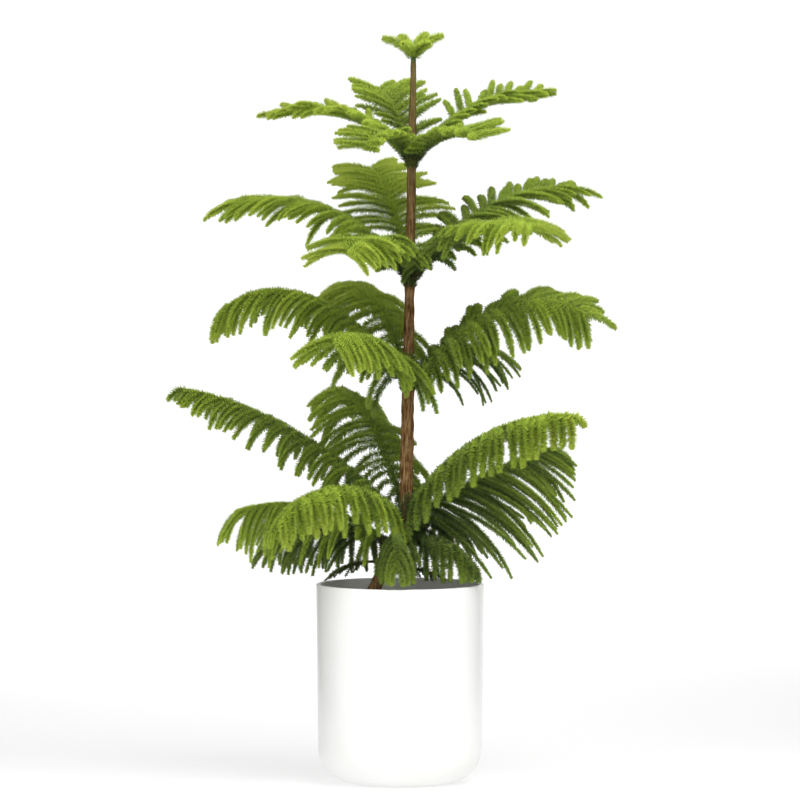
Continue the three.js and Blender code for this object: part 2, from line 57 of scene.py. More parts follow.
MM = 0.001  # metres
BODY = "root"
MOST_TRIANGLES = 200_000  # in one piece
UP = np.array([0.0, 0.0, 1.0])
GOLDEN_TURN = math.radians(137.508)  # between two needles that follow each other round a twig

BARE_SHARE = 0.06  # of each branch's length, past the bark, that is bare bough
BARE_LEAST = 10.0  # and how long that is at least
SAMPLE = 6.0  # distance between the points of a branchlet that are tested for room
ROOM = 7.0  # least distance between such points on two different masses
EDGE = 3.5  # least distance from a branchlet to the trunk's bark
OVERREACH = 20.0  # how far a branchlet may pass its sector's sides, where there is room
LOWEST = 244.0  # no branchlet hangs lower, so its needles stay clear of the rim


# ---- Colours and nodes ----


def srgb(code: str) -> tuple[float, float, float, float]:
    """Turns an sRGB hex value to a linear colour.

    Args:
        code: The value, as in "#8da442".

    Returns:
        Red, green, blue and an alpha of one.
    """
    parts = [int(code[i : i + 2], 16) / 255 for i in (1, 3, 5)]
    linear = [c / 12.92 if c <= 0.04045 else ((c + 0.055) / 1.055) ** 2.4 for c in parts]
    return (linear[0], linear[1], linear[2], 1.0)


def set_node(tree: NodeTree, node: Node, settings: dict, links: dict) -> None:
    """Gives a node its settings and links.

    Args:
        tree: The node tree that it belongs to.
        node: The node.
        settings: Values of its inputs, by name or number, and of its properties.
        links: What feeds each named or numbered input: an output, or a node by its first output.
    """
    for name, value in settings.items():
        if isinstance(name, int) or name in node.inputs:
            node.inputs[name].default_value = value
        else:
            setattr(node, name, value)
    for name, source in links.items():
        output = source.outputs[0] if isinstance(source, Node) else source
        tree.links.new(output, node.inputs[name])


def add_node(
    tree: NodeTree,
    kind: str,
    settings: dict | None = None,
    links: dict | None = None,
) -> Node:
    """Adds a node.

    Args:
        tree: The node tree that gets the node.
        kind: The node's type, without the "ShaderNode" that Blender's names start with.
        settings: Its settings, as set_node takes them.
        links: Its links, as set_node takes them.

    Returns:
        The new node.
    """
    node = tree.nodes.new(f"ShaderNode{kind}")
    set_node(tree, node, settings or {}, links or {})
    return node


def set_stops(ramp: Node, *stops: tuple[float, str]) -> None:
    """Gives a colour ramp its stops.

    Args:
        ramp: The ramp's node.
        stops: The place and the sRGB hex value of each.
    """
    elements = ramp.color_ramp.elements
    for i, (place, color) in enumerate(stops):
        stop = elements[i] if i < 2 else elements.new(place)
        stop.position = place
        stop.color = srgb(color)


def new_material(name: str) -> tuple[Material, NodeTree, Node]:
    """Makes a material with nodes.

    Args:
        name: Its name.

    Returns:
        The material, its node tree and its shader.
    """
    material = bpy.data.materials.new(name)
    material.use_nodes = True
    tree = material.node_tree
    return material, tree, tree.nodes["Principled BSDF"]


def plain_material(name: str, look: dict) -> Material:
    """Makes a material of one colour.

    Args:
        name: Its name.
        look: Values of its shader's inputs.

    Returns:
        The material.
    """
    material, tree, shader = new_material(name)
    set_node(tree, shader, look, {})
    return material


def per_metre(size: float) -> float:
    """The scale of a pattern whose features are a size in millimetres."""
    return 1.0 / (size * MM)


# ---- Finishes ----


class Tint(Enum):
    """Greens of the needles, from the oldest ones in the shade to the newest growth."""

    SHADE = "#36422a"
    DEEP = "#4a5a36"
    LEAF = "#60753c"
    MID = "#7a9140"
    FRESH = "#92ab43"
    LIME = "#a9c246"
    NEW = "#bfd352"


@dataclass(frozen=True)
class NeedleWax:
    """Living conifer needles under a thin wax bloom, which gives a soft and broken gloss."""

    tint: Tint
    roughness: float = 0.6
    specular: float = 0.14

    def material(self) -> Material:
        """Makes the plain-coloured material of one tint.

        Returns:
            The material.
        """
        look = {"Roughness": self.roughness, "Specular IOR Level": self.specular}
        look["Base Color"] = srgb(self.tint.value)
        return plain_material(f"waxy_needles_{self.tint.name.lower()}", look)


@dataclass(frozen=True)
class GreenTwig:
    """The soft green skin of this year's twigs, duller than the needles on it."""

    color: str = "#4d5f20"
    roughness: float = 0.6

    def material(self) -> Material:
        """Makes the plain-coloured material."""
        look = {"Base Color": srgb(self.color), "Roughness": self.roughness}
        return plain_material("green_twig_skin", look)


@dataclass(frozen=True)
class YoungBark:
    """Thin conifer bark that splits into upright strips, red brown with pale weathered streaks."""

    name: str
    dark: str  # between the strips
    body: str
    pale: str  # where it has weathered
    tip: str  # high on the trunk
    strip: float = 2.2  # mm, width of the upright strips
    stretch: float = 9.0  # their height over their width
    patch: float = 16.0  # mm, size of the weathered patches
    grain: float = 0.7  # mm, fine cracks
    grey_from: float = 600.0  # height where the bark starts to turn to the leader's olive grey
    grey_to: float = 850.0
    grey_most: float = 0.7  # share of the leader's colour there
    roughness: float = 0.82
    specular: float = 0.15

    def material(self) -> Material:
        """Makes the streaked material on Object coordinates.

        Returns:
            The material.
        """
        material, tree, shader = new_material(self.name)
        place = add_node(tree, "TexCoord").outputs["Object"]
        upright = add_node(tree, "Mapping", {"Scale": (1.0, 1.0, 1.0 / self.stretch)}, {"Vector": place})
        strips = add_node(
            tree, "TexNoise",
            {"Scale": per_metre(self.strip), "Detail": 3.0, "Roughness": 0.6},
            {"Vector": upright},
        )
        patches = add_node(
            tree, "TexNoise",
            {"Scale": per_metre(self.patch), "Detail": 2.0},
            {"Vector": place},
        )
        streaks = add_node(tree, "ValToRGB", links={"Fac": strips})
        set_stops(streaks, (0.34, self.dark), (0.68, self.pale), (0.5, self.body))
        weathered = add_node(
            tree, "MapRange",
            {"From Min": 0.48, "From Max": 0.72, "To Max": 0.55},
            {"Value": patches},
        )
        weather = add_node(
            tree, "Mix",
            {"data_type": "RGBA", 7: srgb(self.pale)},
            {0: weathered, 6: streaks},
        )
        height = add_node(tree, "SeparateXYZ", links={"Vector": place})
        share = add_node(
            tree, "MapRange",
            {
                "From Min": self.grey_from * MM,
                "From Max": self.grey_to * MM,
                "To Max": self.grey_most,
            },
            {"Value": height.outputs["Z"]},
        )
        color = add_node(
            tree, "Mix",
            {"data_type": "RGBA", 7: srgb(self.tip)},
            {0: share, 6: weather.outputs[2]},
        )
        cracks = add_node(
            tree, "TexNoise",
            {"Scale": per_metre(self.grain), "Detail": 2.0},
            {"Vector": upright},
        )
        bump = add_node(tree, "Bump", {"Strength": 0.5, "Distance": 0.3 * MM}, {"Height": cracks})
        look = {"Roughness": self.roughness, "Specular IOR Level": self.specular}
        set_node(tree, shader, look, {"Base Color": color.outputs[2], "Normal": bump})
        return material


@dataclass(frozen=True)
class PotGlaze:
    """White satin glaze over a cast pot, which gives broad soft reflections and a clean lip."""

    color: str = "#f4f4f2"
    dust: str = "#e3e2dc"
    roughness: float = 0.3
    cloud: float = 60.0  # mm, size of the faint clouds in the glaze
    ripple: float = 7.0  # mm, orange peel of the sprayed glaze
    glossier: float = 0.05  # how far the clouds lower the roughness
    duller: float = 0.08  # and raise it
    coat: float = 0.25  # the glaze's clear skin
    coat_roughness: float = 0.2

    def material(self) -> Material:
        """Makes the glaze on Object coordinates.

        Returns:
            The material.
        """
        material, tree, shader = new_material("white_satin_glaze")
        place = add_node(tree, "TexCoord").outputs["Object"]
        clouds, peel = [
            add_node(tree, "TexNoise", {"Scale": per_metre(size), "Detail": detail}, {"Vector": place})
            for size, detail in ((self.cloud, 3.0), (self.ripple, 1.0))
        ]
        share = add_node(
            tree, "MapRange",
            {"From Min": 0.45, "From Max": 0.8, "To Max": 0.3},
            {"Value": clouds},
        )
        color = add_node(
            tree, "Mix",
            {"data_type": "RGBA", 6: srgb(self.color), 7: srgb(self.dust)},
            {0: share},
        )
        gloss = add_node(
            tree, "MapRange",
            {"To Min": self.roughness - self.glossier, "To Max": self.roughness + self.duller},
            {"Value": clouds},
        )
        bump = add_node(tree, "Bump", {"Strength": 0.12, "Distance": 0.2 * MM}, {"Height": peel})
        look = {"Coat Weight": self.coat, "Coat Roughness": self.coat_roughness}
        links = {"Base Color": color.outputs[2], "Roughness": gloss, "Normal": bump}
        set_node(tree, shader, look, links)
        return material


@dataclass(frozen=True)
class PottingPeat:
    """Damp peat with bark fines: near black in its hollows, brown and dry on its crumbs."""

    wet: str = "#1d140e"
    dry: str = "#57412e"
    clod: float = 9.0  # mm, size of the clods
    fines: float = 1.4  # mm, size of the bark fines
    roughness: float = 0.95
    specular: float = 0.2

    def material(self) -> Material:
        """Makes the crumbly material on Object coordinates.

        Returns:
            The material.
        """
        material, tree, shader = new_material("potting_peat")
        place = add_node(tree, "TexCoord").outputs["Object"]
        clods = add_node(
            tree, "TexNoise",
            {"Scale": per_metre(self.clod), "Detail": 5.0, "Roughness": 0.65},
            {"Vector": place},
        )
        shades = add_node(tree, "ValToRGB", links={"Fac": clods})
        set_stops(shades, (0.35, self.wet), (0.7, self.dry))
        grit = add_node(
            tree, "TexNoise",
            {"Scale": per_metre(self.fines), "Detail": 2.0},
            {"Vector": place},
        )
        bump = add_node(tree, "Bump", {"Strength": 0.8, "Distance": 0.6 * MM}, {"Height": grit})
        look = {"Roughness": self.roughness, "Specular IOR Level": self.specular}
        set_node(tree, shader, look, {"Base Color": shades, "Normal": bump})
        return material


TRUNK_BARK = YoungBark("flaking_trunk_bark", "#35240f", "#74522f", "#9c8058", "#655d35")
BOUGH_BARK = YoungBark("green_brown_bough_bark", "#23240f", "#40401c", "#62602f", "#4f5828")


class Wardrobe:
    """The materials, each made once."""

    def __init__(self) -> None:
        """Makes them all."""
        self.needles = {tint: NeedleWax(tint).material() for tint in Tint}
        self.twig = GreenTwig().material()
        self.trunk_bark = TRUNK_BARK.material()
        self.bough_bark = BOUGH_BARK.material()
        self.glaze = PotGlaze().material()
        self.peat = PottingPeat().material()


# ---- Pieces ----


def nodes_named(start: str) -> list[str]:
    """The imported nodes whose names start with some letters."""
    return sorted(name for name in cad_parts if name.startswith(start))


def finish_piece(piece: Object, name: str, material: Material, nodes: Iterable[str]) -> None:
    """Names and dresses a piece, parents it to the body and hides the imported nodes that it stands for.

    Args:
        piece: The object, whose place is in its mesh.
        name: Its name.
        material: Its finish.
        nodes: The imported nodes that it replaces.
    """
    piece.name = name
    piece.data.name = name
    piece.data.materials.clear()
    piece.data.materials.append(material)
    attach(piece, BODY)
    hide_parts(*nodes)
    triangles = sum(len(face.vertices) - 2 for face in piece.data.polygons)
    if triangles > MOST_TRIANGLES:
        raise ValueError(f"{name} has {triangles} triangles")
    log.info("%s: %d triangles", name, triangles)


def close_up() -> None:
    """Turns the edited mesh's faces outwards, leaves edit mode and applies the piece's place."""
    bpy.ops.mesh.select_all(action="SELECT")
    bpy.ops.mesh.normals_make_consistent(inside=False)
    bpy.ops.object.mode_set(mode="OBJECT")
    bpy.ops.object.transform_apply(location=True, rotation=True, scale=True)


@dataclass
class Pile:
    """Many small shapes that become one joined mesh."""

    points: list[np.ndarray] = field(default_factory=list)
    faces: list[np.ndarray] = field(default_factory=list)
    count: int = 0

    def add(self, points: np.ndarray, faces: np.ndarray) -> None:
        """Adds closed shapes.

        Args:
            points: Their vertices, in millimetres.
            faces: Their triangles, which count those vertices from zero.
        """
        flat = points.reshape(-1, 3)
        self.points.append(flat)
        self.faces.append(faces.reshape(-1, 3) + self.count)
        self.count += len(flat)

    def build(self, name: str, material: Material, slot: str, nodes: Iterable[str]) -> None:
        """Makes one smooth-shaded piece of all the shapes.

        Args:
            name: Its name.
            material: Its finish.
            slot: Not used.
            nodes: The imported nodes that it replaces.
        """
        points = np.concatenate(self.points) * MM
        faces = np.concatenate(self.faces).astype(np.int32)
        mesh = bpy.data.meshes.new(name)
        mesh.vertices.add(len(points))
        mesh.vertices.foreach_set("co", points.astype(np.float32).ravel())
        mesh.loops.add(faces.size)
        mesh.loops.foreach_set("vertex_index", faces.ravel())
        mesh.polygons.add(len(faces))
        mesh.polygons.foreach_set("loop_start", np.arange(0, faces.size, 3, dtype=np.int32))
        mesh.polygons.foreach_set("use_smooth", np.ones(len(faces), dtype=bool))
        mesh.update(calc_edges=True)
        made = bpy.data.objects.new(name, mesh)
        bpy.context.scene.collection.objects.link(made)
        finish_piece(made, name, material, nodes)


@dataclass
class Shades:
    """A pile of needles for each tint."""

    piles: tuple[Pile, ...] = field(default_factory=lambda: tuple(Pile() for _ in Tint))

    def build(self, name: str, wardrobe: Wardrobe, nodes: Iterable[str]) -> None:
        """Makes a piece of each tint that was used.

        Args:
            name: What the pieces' names start with.
            wardrobe: The materials.
            nodes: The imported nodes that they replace.
        """
        for tint, pile in zip(Tint, self.piles):
            if pile.count:
                full_name = f"{name}_{tint.name.lower()}"
                pile.build(full_name, wardrobe.needles[tint], "foliage", nodes)


# ---- Lines that limbs and branchlets follow ----


def direction(azimuth: float, elevation: np.ndarray | float) -> np.ndarray:
    """Turns angles to unit vectors.

    Args:
        azimuth: The azimuth of all of them.
        elevation: Their elevations.

    Returns:
        The vectors.
    """
    turn = math.radians(azimuth)
    rise = np.radians(np.asarray(elevation, dtype=float))
    level = np.cos(rise)
    return np.stack([level * math.cos(turn), level * math.sin(turn), np.sin(rise)], axis=-1)


def lerp(low: float, high: float, share: float | np.ndarray) -> float | np.ndarray:
    """The value at a share of the way from one to another."""
    return low + (high - low) * share


@dataclass
class Line:
    """A line in one vertical plane that starts at one rise and turns to another."""

    base: np.ndarray  # where it starts
    azimuth: float  # the plane's direction
    length: float  # along the line
    rise: Pair  # its angle over the horizontal at its start and at its end
    bend: float = 1.0  # how late it turns from one to the other
    steps: int = 40

    def __post_init__(self) -> None:
        """Sums the line from short straight steps."""
        middles = (np.arange(self.steps) + 0.5) / self.steps
        moves = direction(self.azimuth, self.rise_at(middles)) * self.length / self.steps
        self.points = np.vstack([self.base, self.base + np.cumsum(moves, axis=0)])

    def rise_at(self, t: np.ndarray | float) -> np.ndarray:
        """The rise at shares of the length."""
        return lerp(self.rise[0], self.rise[1], np.clip(t, 0, 1) ** self.bend)

    def at(self, t: np.ndarray | float) -> np.ndarray:
        """The points at shares of the length."""
        x = np.clip(np.asarray(t, dtype=float), 0, 1) * self.steps
        return np.stack([np.interp(x, np.arange(self.steps + 1), c) for c in self.points.T], -1)

    def samples(self) -> np.ndarray:
        """Points along the line, close enough together to tell where it has room."""
        count = math.ceil(self.length / SAMPLE)
        return self.at((np.arange(count) + 1) / count)

    def tangent(self, t: np.ndarray | float) -> np.ndarray:
        """The directions along the line."""
        return direction(self.azimuth, self.rise_at(t))

    def above(self, t: np.ndarray | float) -> np.ndarray:
        """The directions at right angles to the line, in its vertical plane."""
        return direction(self.azimuth, self.rise_at(t) + 90)


# The usual linear congruential generator of 32 bits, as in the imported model's source.
MULTIPLIER = 1664525
INCREMENT = 1013904223
MODULUS = 4294967296


@dataclass
class Chance:
    """A repeatable stream of numbers, whose first state is its seed."""

    state: int

    def around(self, size: float) -> float:
        """A number up to a size above or below zero."""
        self.state = (self.state * MULTIPLIER + INCREMENT) % MODULUS
        return size * (2 * self.state / MODULUS - 1)


def tube(line: Line, start: float, end: float, radii: np.ndarray, sides: int) -> tuple:
    """A closed tapering tube along part of a line.

    Args:
        line: The line.
        start: The share of its length where the tube starts.
        end: The share where it ends.
        radii: The radius of each ring, or of each point of each ring.
        sides: The number of sides.

    Returns:
        Its vertices, ring by ring with the two end points last, and its triangles.
    """
    rings = len(radii)
    t = np.linspace(start, end, rings)
    middle = line.at(t)
    above = line.above(t)
    across = np.cross(above, line.tangent(t))
    turn = np.linspace(0, 2 * math.pi, sides, endpoint=False)
    round_it = (
        np.cos(turn)[None, :, None] * across[:, None] + np.sin(turn)[None, :, None] * above[:, None]
    )
    reach = radii[:, None] if radii.ndim == 1 else radii
    skin = middle[:, None] + reach[..., None] * round_it
    points = np.vstack([skin.reshape(-1, 3), middle[:1], middle[-1:]])
    around = np.arange(sides)
    beside = (around + 1) % sides
    first = (np.arange(rings - 1) * sides)[:, None]
    low = np.stack([first + around, first + beside, first + beside + sides], axis=-1)
    high = np.stack([first + around, first + beside + sides, first + around + sides], axis=-1)
    root = np.full(sides, rings * sides)
    last = (rings - 1) * sides
    caps = [
        np.stack([root, beside, around], axis=-1),
        np.stack([root + 1, around + last, beside + last], axis=-1),
    ]
    return points, np.vstack([low.reshape(-1, 3), high.reshape(-1, 3), *caps])


@dataclass(frozen=True)
class Wood:
    """A slender stem: its radii at its two ends, and the rings and sides of its mesh."""

    radii: Pair
    rings: int
    sides: int

    def grow(self, line: Line, pile: Pile, start: float = 0.0) -> None:
        """Adds the stem to a pile, along a line from a share of its length."""
        rings = np.linspace(*self.radii, self.rings)
        pile.add(*tube(line, start, 1.0, rings, self.sides))


# ---- Needles ----


@dataclass(frozen=True)
class Dress:
    """How a twig is clothed in needles."""

    per_mm: float = 3.9  # needles along each millimetre of twig
    length: float = 6.0
    width: float = 2.0  # at the widest
    thickness: float = 0.9
    spread: Pair = (62.0, 36.0)  # angle to the twig at its root and at its tip
    tint: float = 3.0  # place in the palette, at the middle of the twig
    fresh: float = 1.3  # steps of the palette from the twig's root to its tip
    along: float = 1.2  # steps from the branch's foot to its tip, between one twig and another
    painted_top_light: float = 0.5  # painted highlight and painted shade: steps of the palette from the side of the twig to its top, lighter on top and darker beneath


# A needle is a slim closed blade: its root, its two edges where it is widest, and its tip. The
# edges stand proud of the keel that runs from root to tip.
BLADE = np.array([[0, 1, 2], [3, 2, 1], [0, 2, 3], [0, 3, 1]])
WIDEST_AT = 0.46  # of a needle's length
SUNK = 0.3  # mm of the root below the twig's skin
MIXED = 0.35  # steps of the palette that single needles differ by
LEAST_NEEDLES = 4  # on any twig
SCATTER = 6.0  # degrees by which their angles differ
UNEVEN = (0.82, 1.14)  # least and greatest share of their length
YOUNGEST = 0.62  # share of their length at the twig's very tip
YOUNG_PART = 0.2  # of the twig, over which they shorten to that


def clothe(
    line: Line,
    span: Pair,
    radii: Pair,
    dress: Dress,
    shades: Shades,
    draw: np.random.Generator,
) -> None:
    """Sets needles in a spiral round part of a twig.

    Args:
        line: The twig's line.
        span: The shares of its length between which the needles stand.
        radii: The twig's radius at those two places.
        dress: What the needles are like.
        shades: Gets the needles, by tint.
        draw: The stream of random numbers.
    """
    count = max(LEAST_NEEDLES, round(dress.per_mm * (span[1] - span[0]) * line.length))
    age = (np.arange(count) + 0.5) / count
    t = lerp(span[0], span[1], age)
    turn = np.arange(count) * GOLDEN_TURN + draw.uniform(0, 2 * math.pi)
    tangent = line.tangent(t)
    above = line.above(t)
    across = np.cross(above, tangent)
    outward = np.cos(turn)[:, None] * across + np.sin(turn)[:, None] * above
    sideways = np.cross(tangent, outward)
    lean = np.radians(lerp(*dress.spread, age**2) + draw.normal(0, SCATTER, count))
    grown = np.clip((1 - age) / YOUNG_PART, 0, 1)
    size = dress.length * lerp(YOUNGEST, 1.0, grown) * draw.uniform(*UNEVEN, count)

    heading = np.cos(lean)[:, None] * tangent + np.sin(lean)[:, None] * outward
    root = line.at(t) + outward * (lerp(*radii, age) - SUNK)[:, None]
    upper = np.cross(heading, sideways)
    widest = root + WIDEST_AT * size[:, None] * heading + dress.thickness * upper
    half = 0.5 * dress.width * sideways
    points = np.stack([root, widest - half, widest + half, root + size[:, None] * heading], axis=1)
    # The last term paints light: needles on a twig's top get a lighter tint, a painted highlight, and
    # those beneath it a darker one, painted shade.
    level = dress.tint + dress.fresh * (age - 0.5) + dress.painted_top_light * outward[:, 2]
    level = np.rint(level + draw.normal(0, MIXED, count)).clip(0, len(Tint) - 1)
    for i, pile in enumerate(shades.piles):
        chosen = points[level == i]
        if len(chosen):
            first = 4 * np.arange(len(chosen))
            pile.add(chosen, BLADE[None] + first[:, None, None])


# ---- Trunk ----


def pattern(points: np.ndarray, width: float, height: float) -> np.ndarray:
    """Noise at some points, with features of a width and a height."""
    scale = (width, width, height)
    return np.array([noise.noise(Vector(point)) for point in points / scale])


@dataclass
class Trunk:
    """The trunk: a stout lower part with a curved foot, and a slim straight leader."""

    foot: float = 195.0
    tip: float = 861.0
    straight_from: float = 373.0
    lean_low: float = 8.0
    lean_high: float = 16.0
    foot_shift: float = 45.0
    foot_curve: float = 130.0
    radii: tuple[Pair, ...] = (  # height and radius
        (195.0, 12.6), (204.0, 10.2), (218.0, 8.8), (290.0, 8.1), (373.0, 7.9),
        (475.0, 7.6), (540.0, 6.2), (700.0, 5.6), (790.0, 4.8), (861.0, 3.2),
    )
    sunk: float = 3.0  # mm of the mesh's foot in the soil
    rings: int = 110
    sides: int = 18
    collar: float = 0.7  # swelling where a whorl of boughs leaves
    collar_height: float = 7.0
    strips: Pair = (1.9, 15.0)  # width and height of the bark's strips
    flakes: Pair = (3.4, 5.5)  # and of its flakes
    strip_depth: Pair = (1.15, 0.6)  # on old wood and on young
    flake_depth: Pair = (0.9, 0.2)
    old_to: float = 480.0  # the bark is old up to here
    young_from: float = 780.0  # and young from here
    scar_turns: float = 3.5  # lozenges of the leaf scars round the trunk
    scar_pitch: float = 1.5
    scar_depth: float = 0.28
    core: float = 2.0  # nearer to the axis than this, the relief fades

    def axis(self, height: np.ndarray | float) -> np.ndarray:
        """Follows the trunk's axis, whose foot is an S curve.

        Args:
            height: One height or more.

        Returns:
            The points of the axis there.
        """
        z = np.asarray(height, dtype=float)
        lean = (self.lean_high - self.lean_low) / (self.tip - self.straight_from)
        share = np.clip((z - self.foot) / self.foot_curve, 0, 1)
        curve = share * share * (3 - 2 * share)
        x = self.lean_low + (z - self.straight_from) * lean - self.foot_shift * (1 - curve)
        return np.stack([x, np.zeros_like(z), z], axis=-1)

    def radius(self, height: np.ndarray | float) -> np.ndarray:
        """The trunk's radius at some heights."""
        heights, radii = zip(*self.radii)
        return np.interp(height, heights, radii)

    def clears(self, points: np.ndarray, room: float) -> bool:
        """Tells whether points lie off the bark.

        Args:
            points: The points.
            room: The least distance.

        Returns:
            Whether all of them do.
        """
        heights = points[:, 2].clip(self.foot, self.tip)
        off = np.linalg.norm((points - self.axis(heights))[:, :2], axis=1)
        return bool((off > self.radius(heights) + room).all())

    def build(self, wardrobe: Wardrobe, whorls: Iterable[float]) -> None:
        """Extrudes the trunk ring by ring, smooths it and carves its bark.

        Args:
            wardrobe: The materials.
            whorls: The heights of the whorls of boughs.
        """
        bpy.ops.object.select_all(action="DESELECT")
        share = np.linspace(0, 1, self.rings + 1)
        heights = lerp(self.foot - self.sunk, self.tip, share**1.1)
        centers = self.axis(heights)
        widths = self.radius(heights)
        bpy.ops.mesh.primitive_circle_add(
            vertices=self.sides,
            radius=widths[0] * MM,
            fill_type="NGON",
            location=centers[0] * MM,
        )
        trunk = bpy.context.object
        bpy.ops.object.mode_set(mode="EDIT")
        bpy.ops.mesh.select_all(action="SELECT")
        for i in range(self.rings):
            step = (centers[i + 1] - centers[i]) * MM
            bpy.ops.mesh.extrude_region_move(TRANSFORM_OT_translate={"value": step})
            share = widths[i + 1] / widths[i]
            bpy.ops.transform.resize(value=(share, share, 1))
        close_up()
        smooth = trunk.modifiers.new("smooth", "SUBSURF")
        smooth.levels = 2
        smooth.render_levels = 2
        bpy.ops.object.modifier_apply(modifier=smooth.name)
        self.carve(trunk, tuple(whorls))
        bpy.ops.object.shade_smooth()
        finish_piece(trunk, "bark_trunk", wardrobe.trunk_bark, ["trunk"])

    def carve(self, trunk: Object, whorls: tuple[float, ...]) -> None:
        """Moves each vertex along its radius: strips, flakes, leaf scars and collars.

        Args:
            trunk: The smoothed trunk.
            whorls: The heights of the whorls of boughs.
        """
        points = np.empty(len(trunk.data.vertices) * 3, np.float32)
        trunk.data.vertices.foreach_get("co", points)
        points = points.reshape(-1, 3).astype(float) / MM
        axis = self.axis(points[:, 2])
        out = points - axis
        out[:, 2] = 0
        reach = np.linalg.norm(out, axis=1)
        unit = out / np.maximum(reach, 1e-6)[:, None]
        heights = points[:, 2]
        young = np.clip((heights - self.old_to) / (self.young_from - self.old_to), 0, 1)
        relief = pattern(points, *self.strips) * lerp(*self.strip_depth, young)
        relief -= np.abs(pattern(points, *self.flakes)) * lerp(*self.flake_depth, young)
        turn = self.scar_turns * np.arctan2(unit[:, 1], unit[:, 0])
        climb = heights / self.scar_pitch
        relief += self.scar_depth * young * (np.cos(turn + climb) * np.cos(turn - climb))
        for height in whorls:
            relief += self.collar * np.exp(-(((heights - height) / self.collar_height) ** 2))
        points += unit * (relief * np.minimum(1, reach / self.core))[:, None]
        trunk.data.vertices.foreach_set("co", (points * MM).astype(np.float32).ravel())
        trunk.data.update()


TRUNK = Trunk()


# ---- Branches ----


@dataclass(frozen=True)
class Sprays:
    """The rule of a branch's two rows of branchlets."""

    length: float
    lift: float  # over the stem's plane
    droop: float  # turn downwards from root to tip
    leave: Pair  # angle to the stem, from the bough to the tip
    spacing: Pair  # between two branchlets of the left row and of the right row
    bend: float = 1.0  # how late they turn downwards
    widest: float = 0.4  # where the longest stand
    foot: float = 0.3  # how much shorter they are at the stem's foot
    tip: float = 0.45  # and at its tip
    roll: float = 0.0  # raises the left row over the right one
    rows: Pair = (1.0, 1.0)  # lengths of the left row and the right row, as shares


@dataclass(frozen=True)
class Branch:
    """One branch of a whorl."""

    whorl: int
    side: str
    azimuth: float
    length: float
    rise: Pair
    bend: float = 1.0
    sector: Pair | None = None  # azimuths, or halfway to its neighbours
    sprays: dict = field(default_factory=dict)  # where they differ from the whorl's
    dress: dict = field(default_factory=dict)


@dataclass(frozen=True)
class Whorl:
    """A ring of branches at one height."""

    number: int
    height: float
    sleeve: Pair  # heights between which needles clothe the trunk
    dress: Dress
    sprays: Sprays

    @property
    def branches(self) -> list[Branch]:
        """Its branches, in the order in which they grow."""
        return [branch for branch in BRANCHES if branch.whorl == self.number]

    def sectors(self) -> list[Pair]:
        """Shares the room round the trunk among the branches.

        Returns:
            The two azimuths that bound each branch's space.
        """
        found = []
        azimuths = sorted(branch.azimuth for branch in self.branches)
        for branch in self.branches:
            i = azimuths.index(branch.azimuth)
            before = azimuths[i - 1] - (360 if i == 0 else 0)
            after = azimuths[(i + 1) % len(azimuths)] + (360 if i + 1 == len(azimuths) else 0)
            halfway = ((before + branch.azimuth) / 2, (after + branch.azimuth) / 2)
            found.append(branch.sector or halfway)
        return found


WHORLS = (
    Whorl(
        1, 737.0, (732.0, 764.0), Dress(length=6.9, tint=4.3),
        Sprays(48.0, 22.0, 24.0, (66.0, 48.0), (9.0, 9.0), foot=0.1, tip=0.35),
    ),
    Whorl(
        2, 596.0, (590.0, 630.0), Dress(length=7.0, tint=3.8),
        Sprays(68.0, 16.0, 50.0, (66.0, 48.0), (9.0, 9.0), bend=0.8, foot=0.1, tip=0.35),
    ),
    Whorl(
        3, 475.0, (466.0, 512.0), Dress(length=7.4, tint=3.4),
        Sprays(78.0, 4.0, 88.0, (64.0, 46.0), (9.0, 9.0), bend=0.6),
    ),
    Whorl(
        4, 310.0, (300.0, 346.0), Dress(length=7.2, tint=2.5),
        Sprays(80.0, 0.0, 84.0, (62.0, 44.0), (9.5, 9.5), bend=0.6),
    ),
    Whorl(
        5, 280.0, (258.0, 300.0), Dress(length=6.2, tint=2.3),
        Sprays(66.0, -4.0, 80.0, (60.0, 42.0), (10.0, 10.0), bend=0.6),
    ),
)

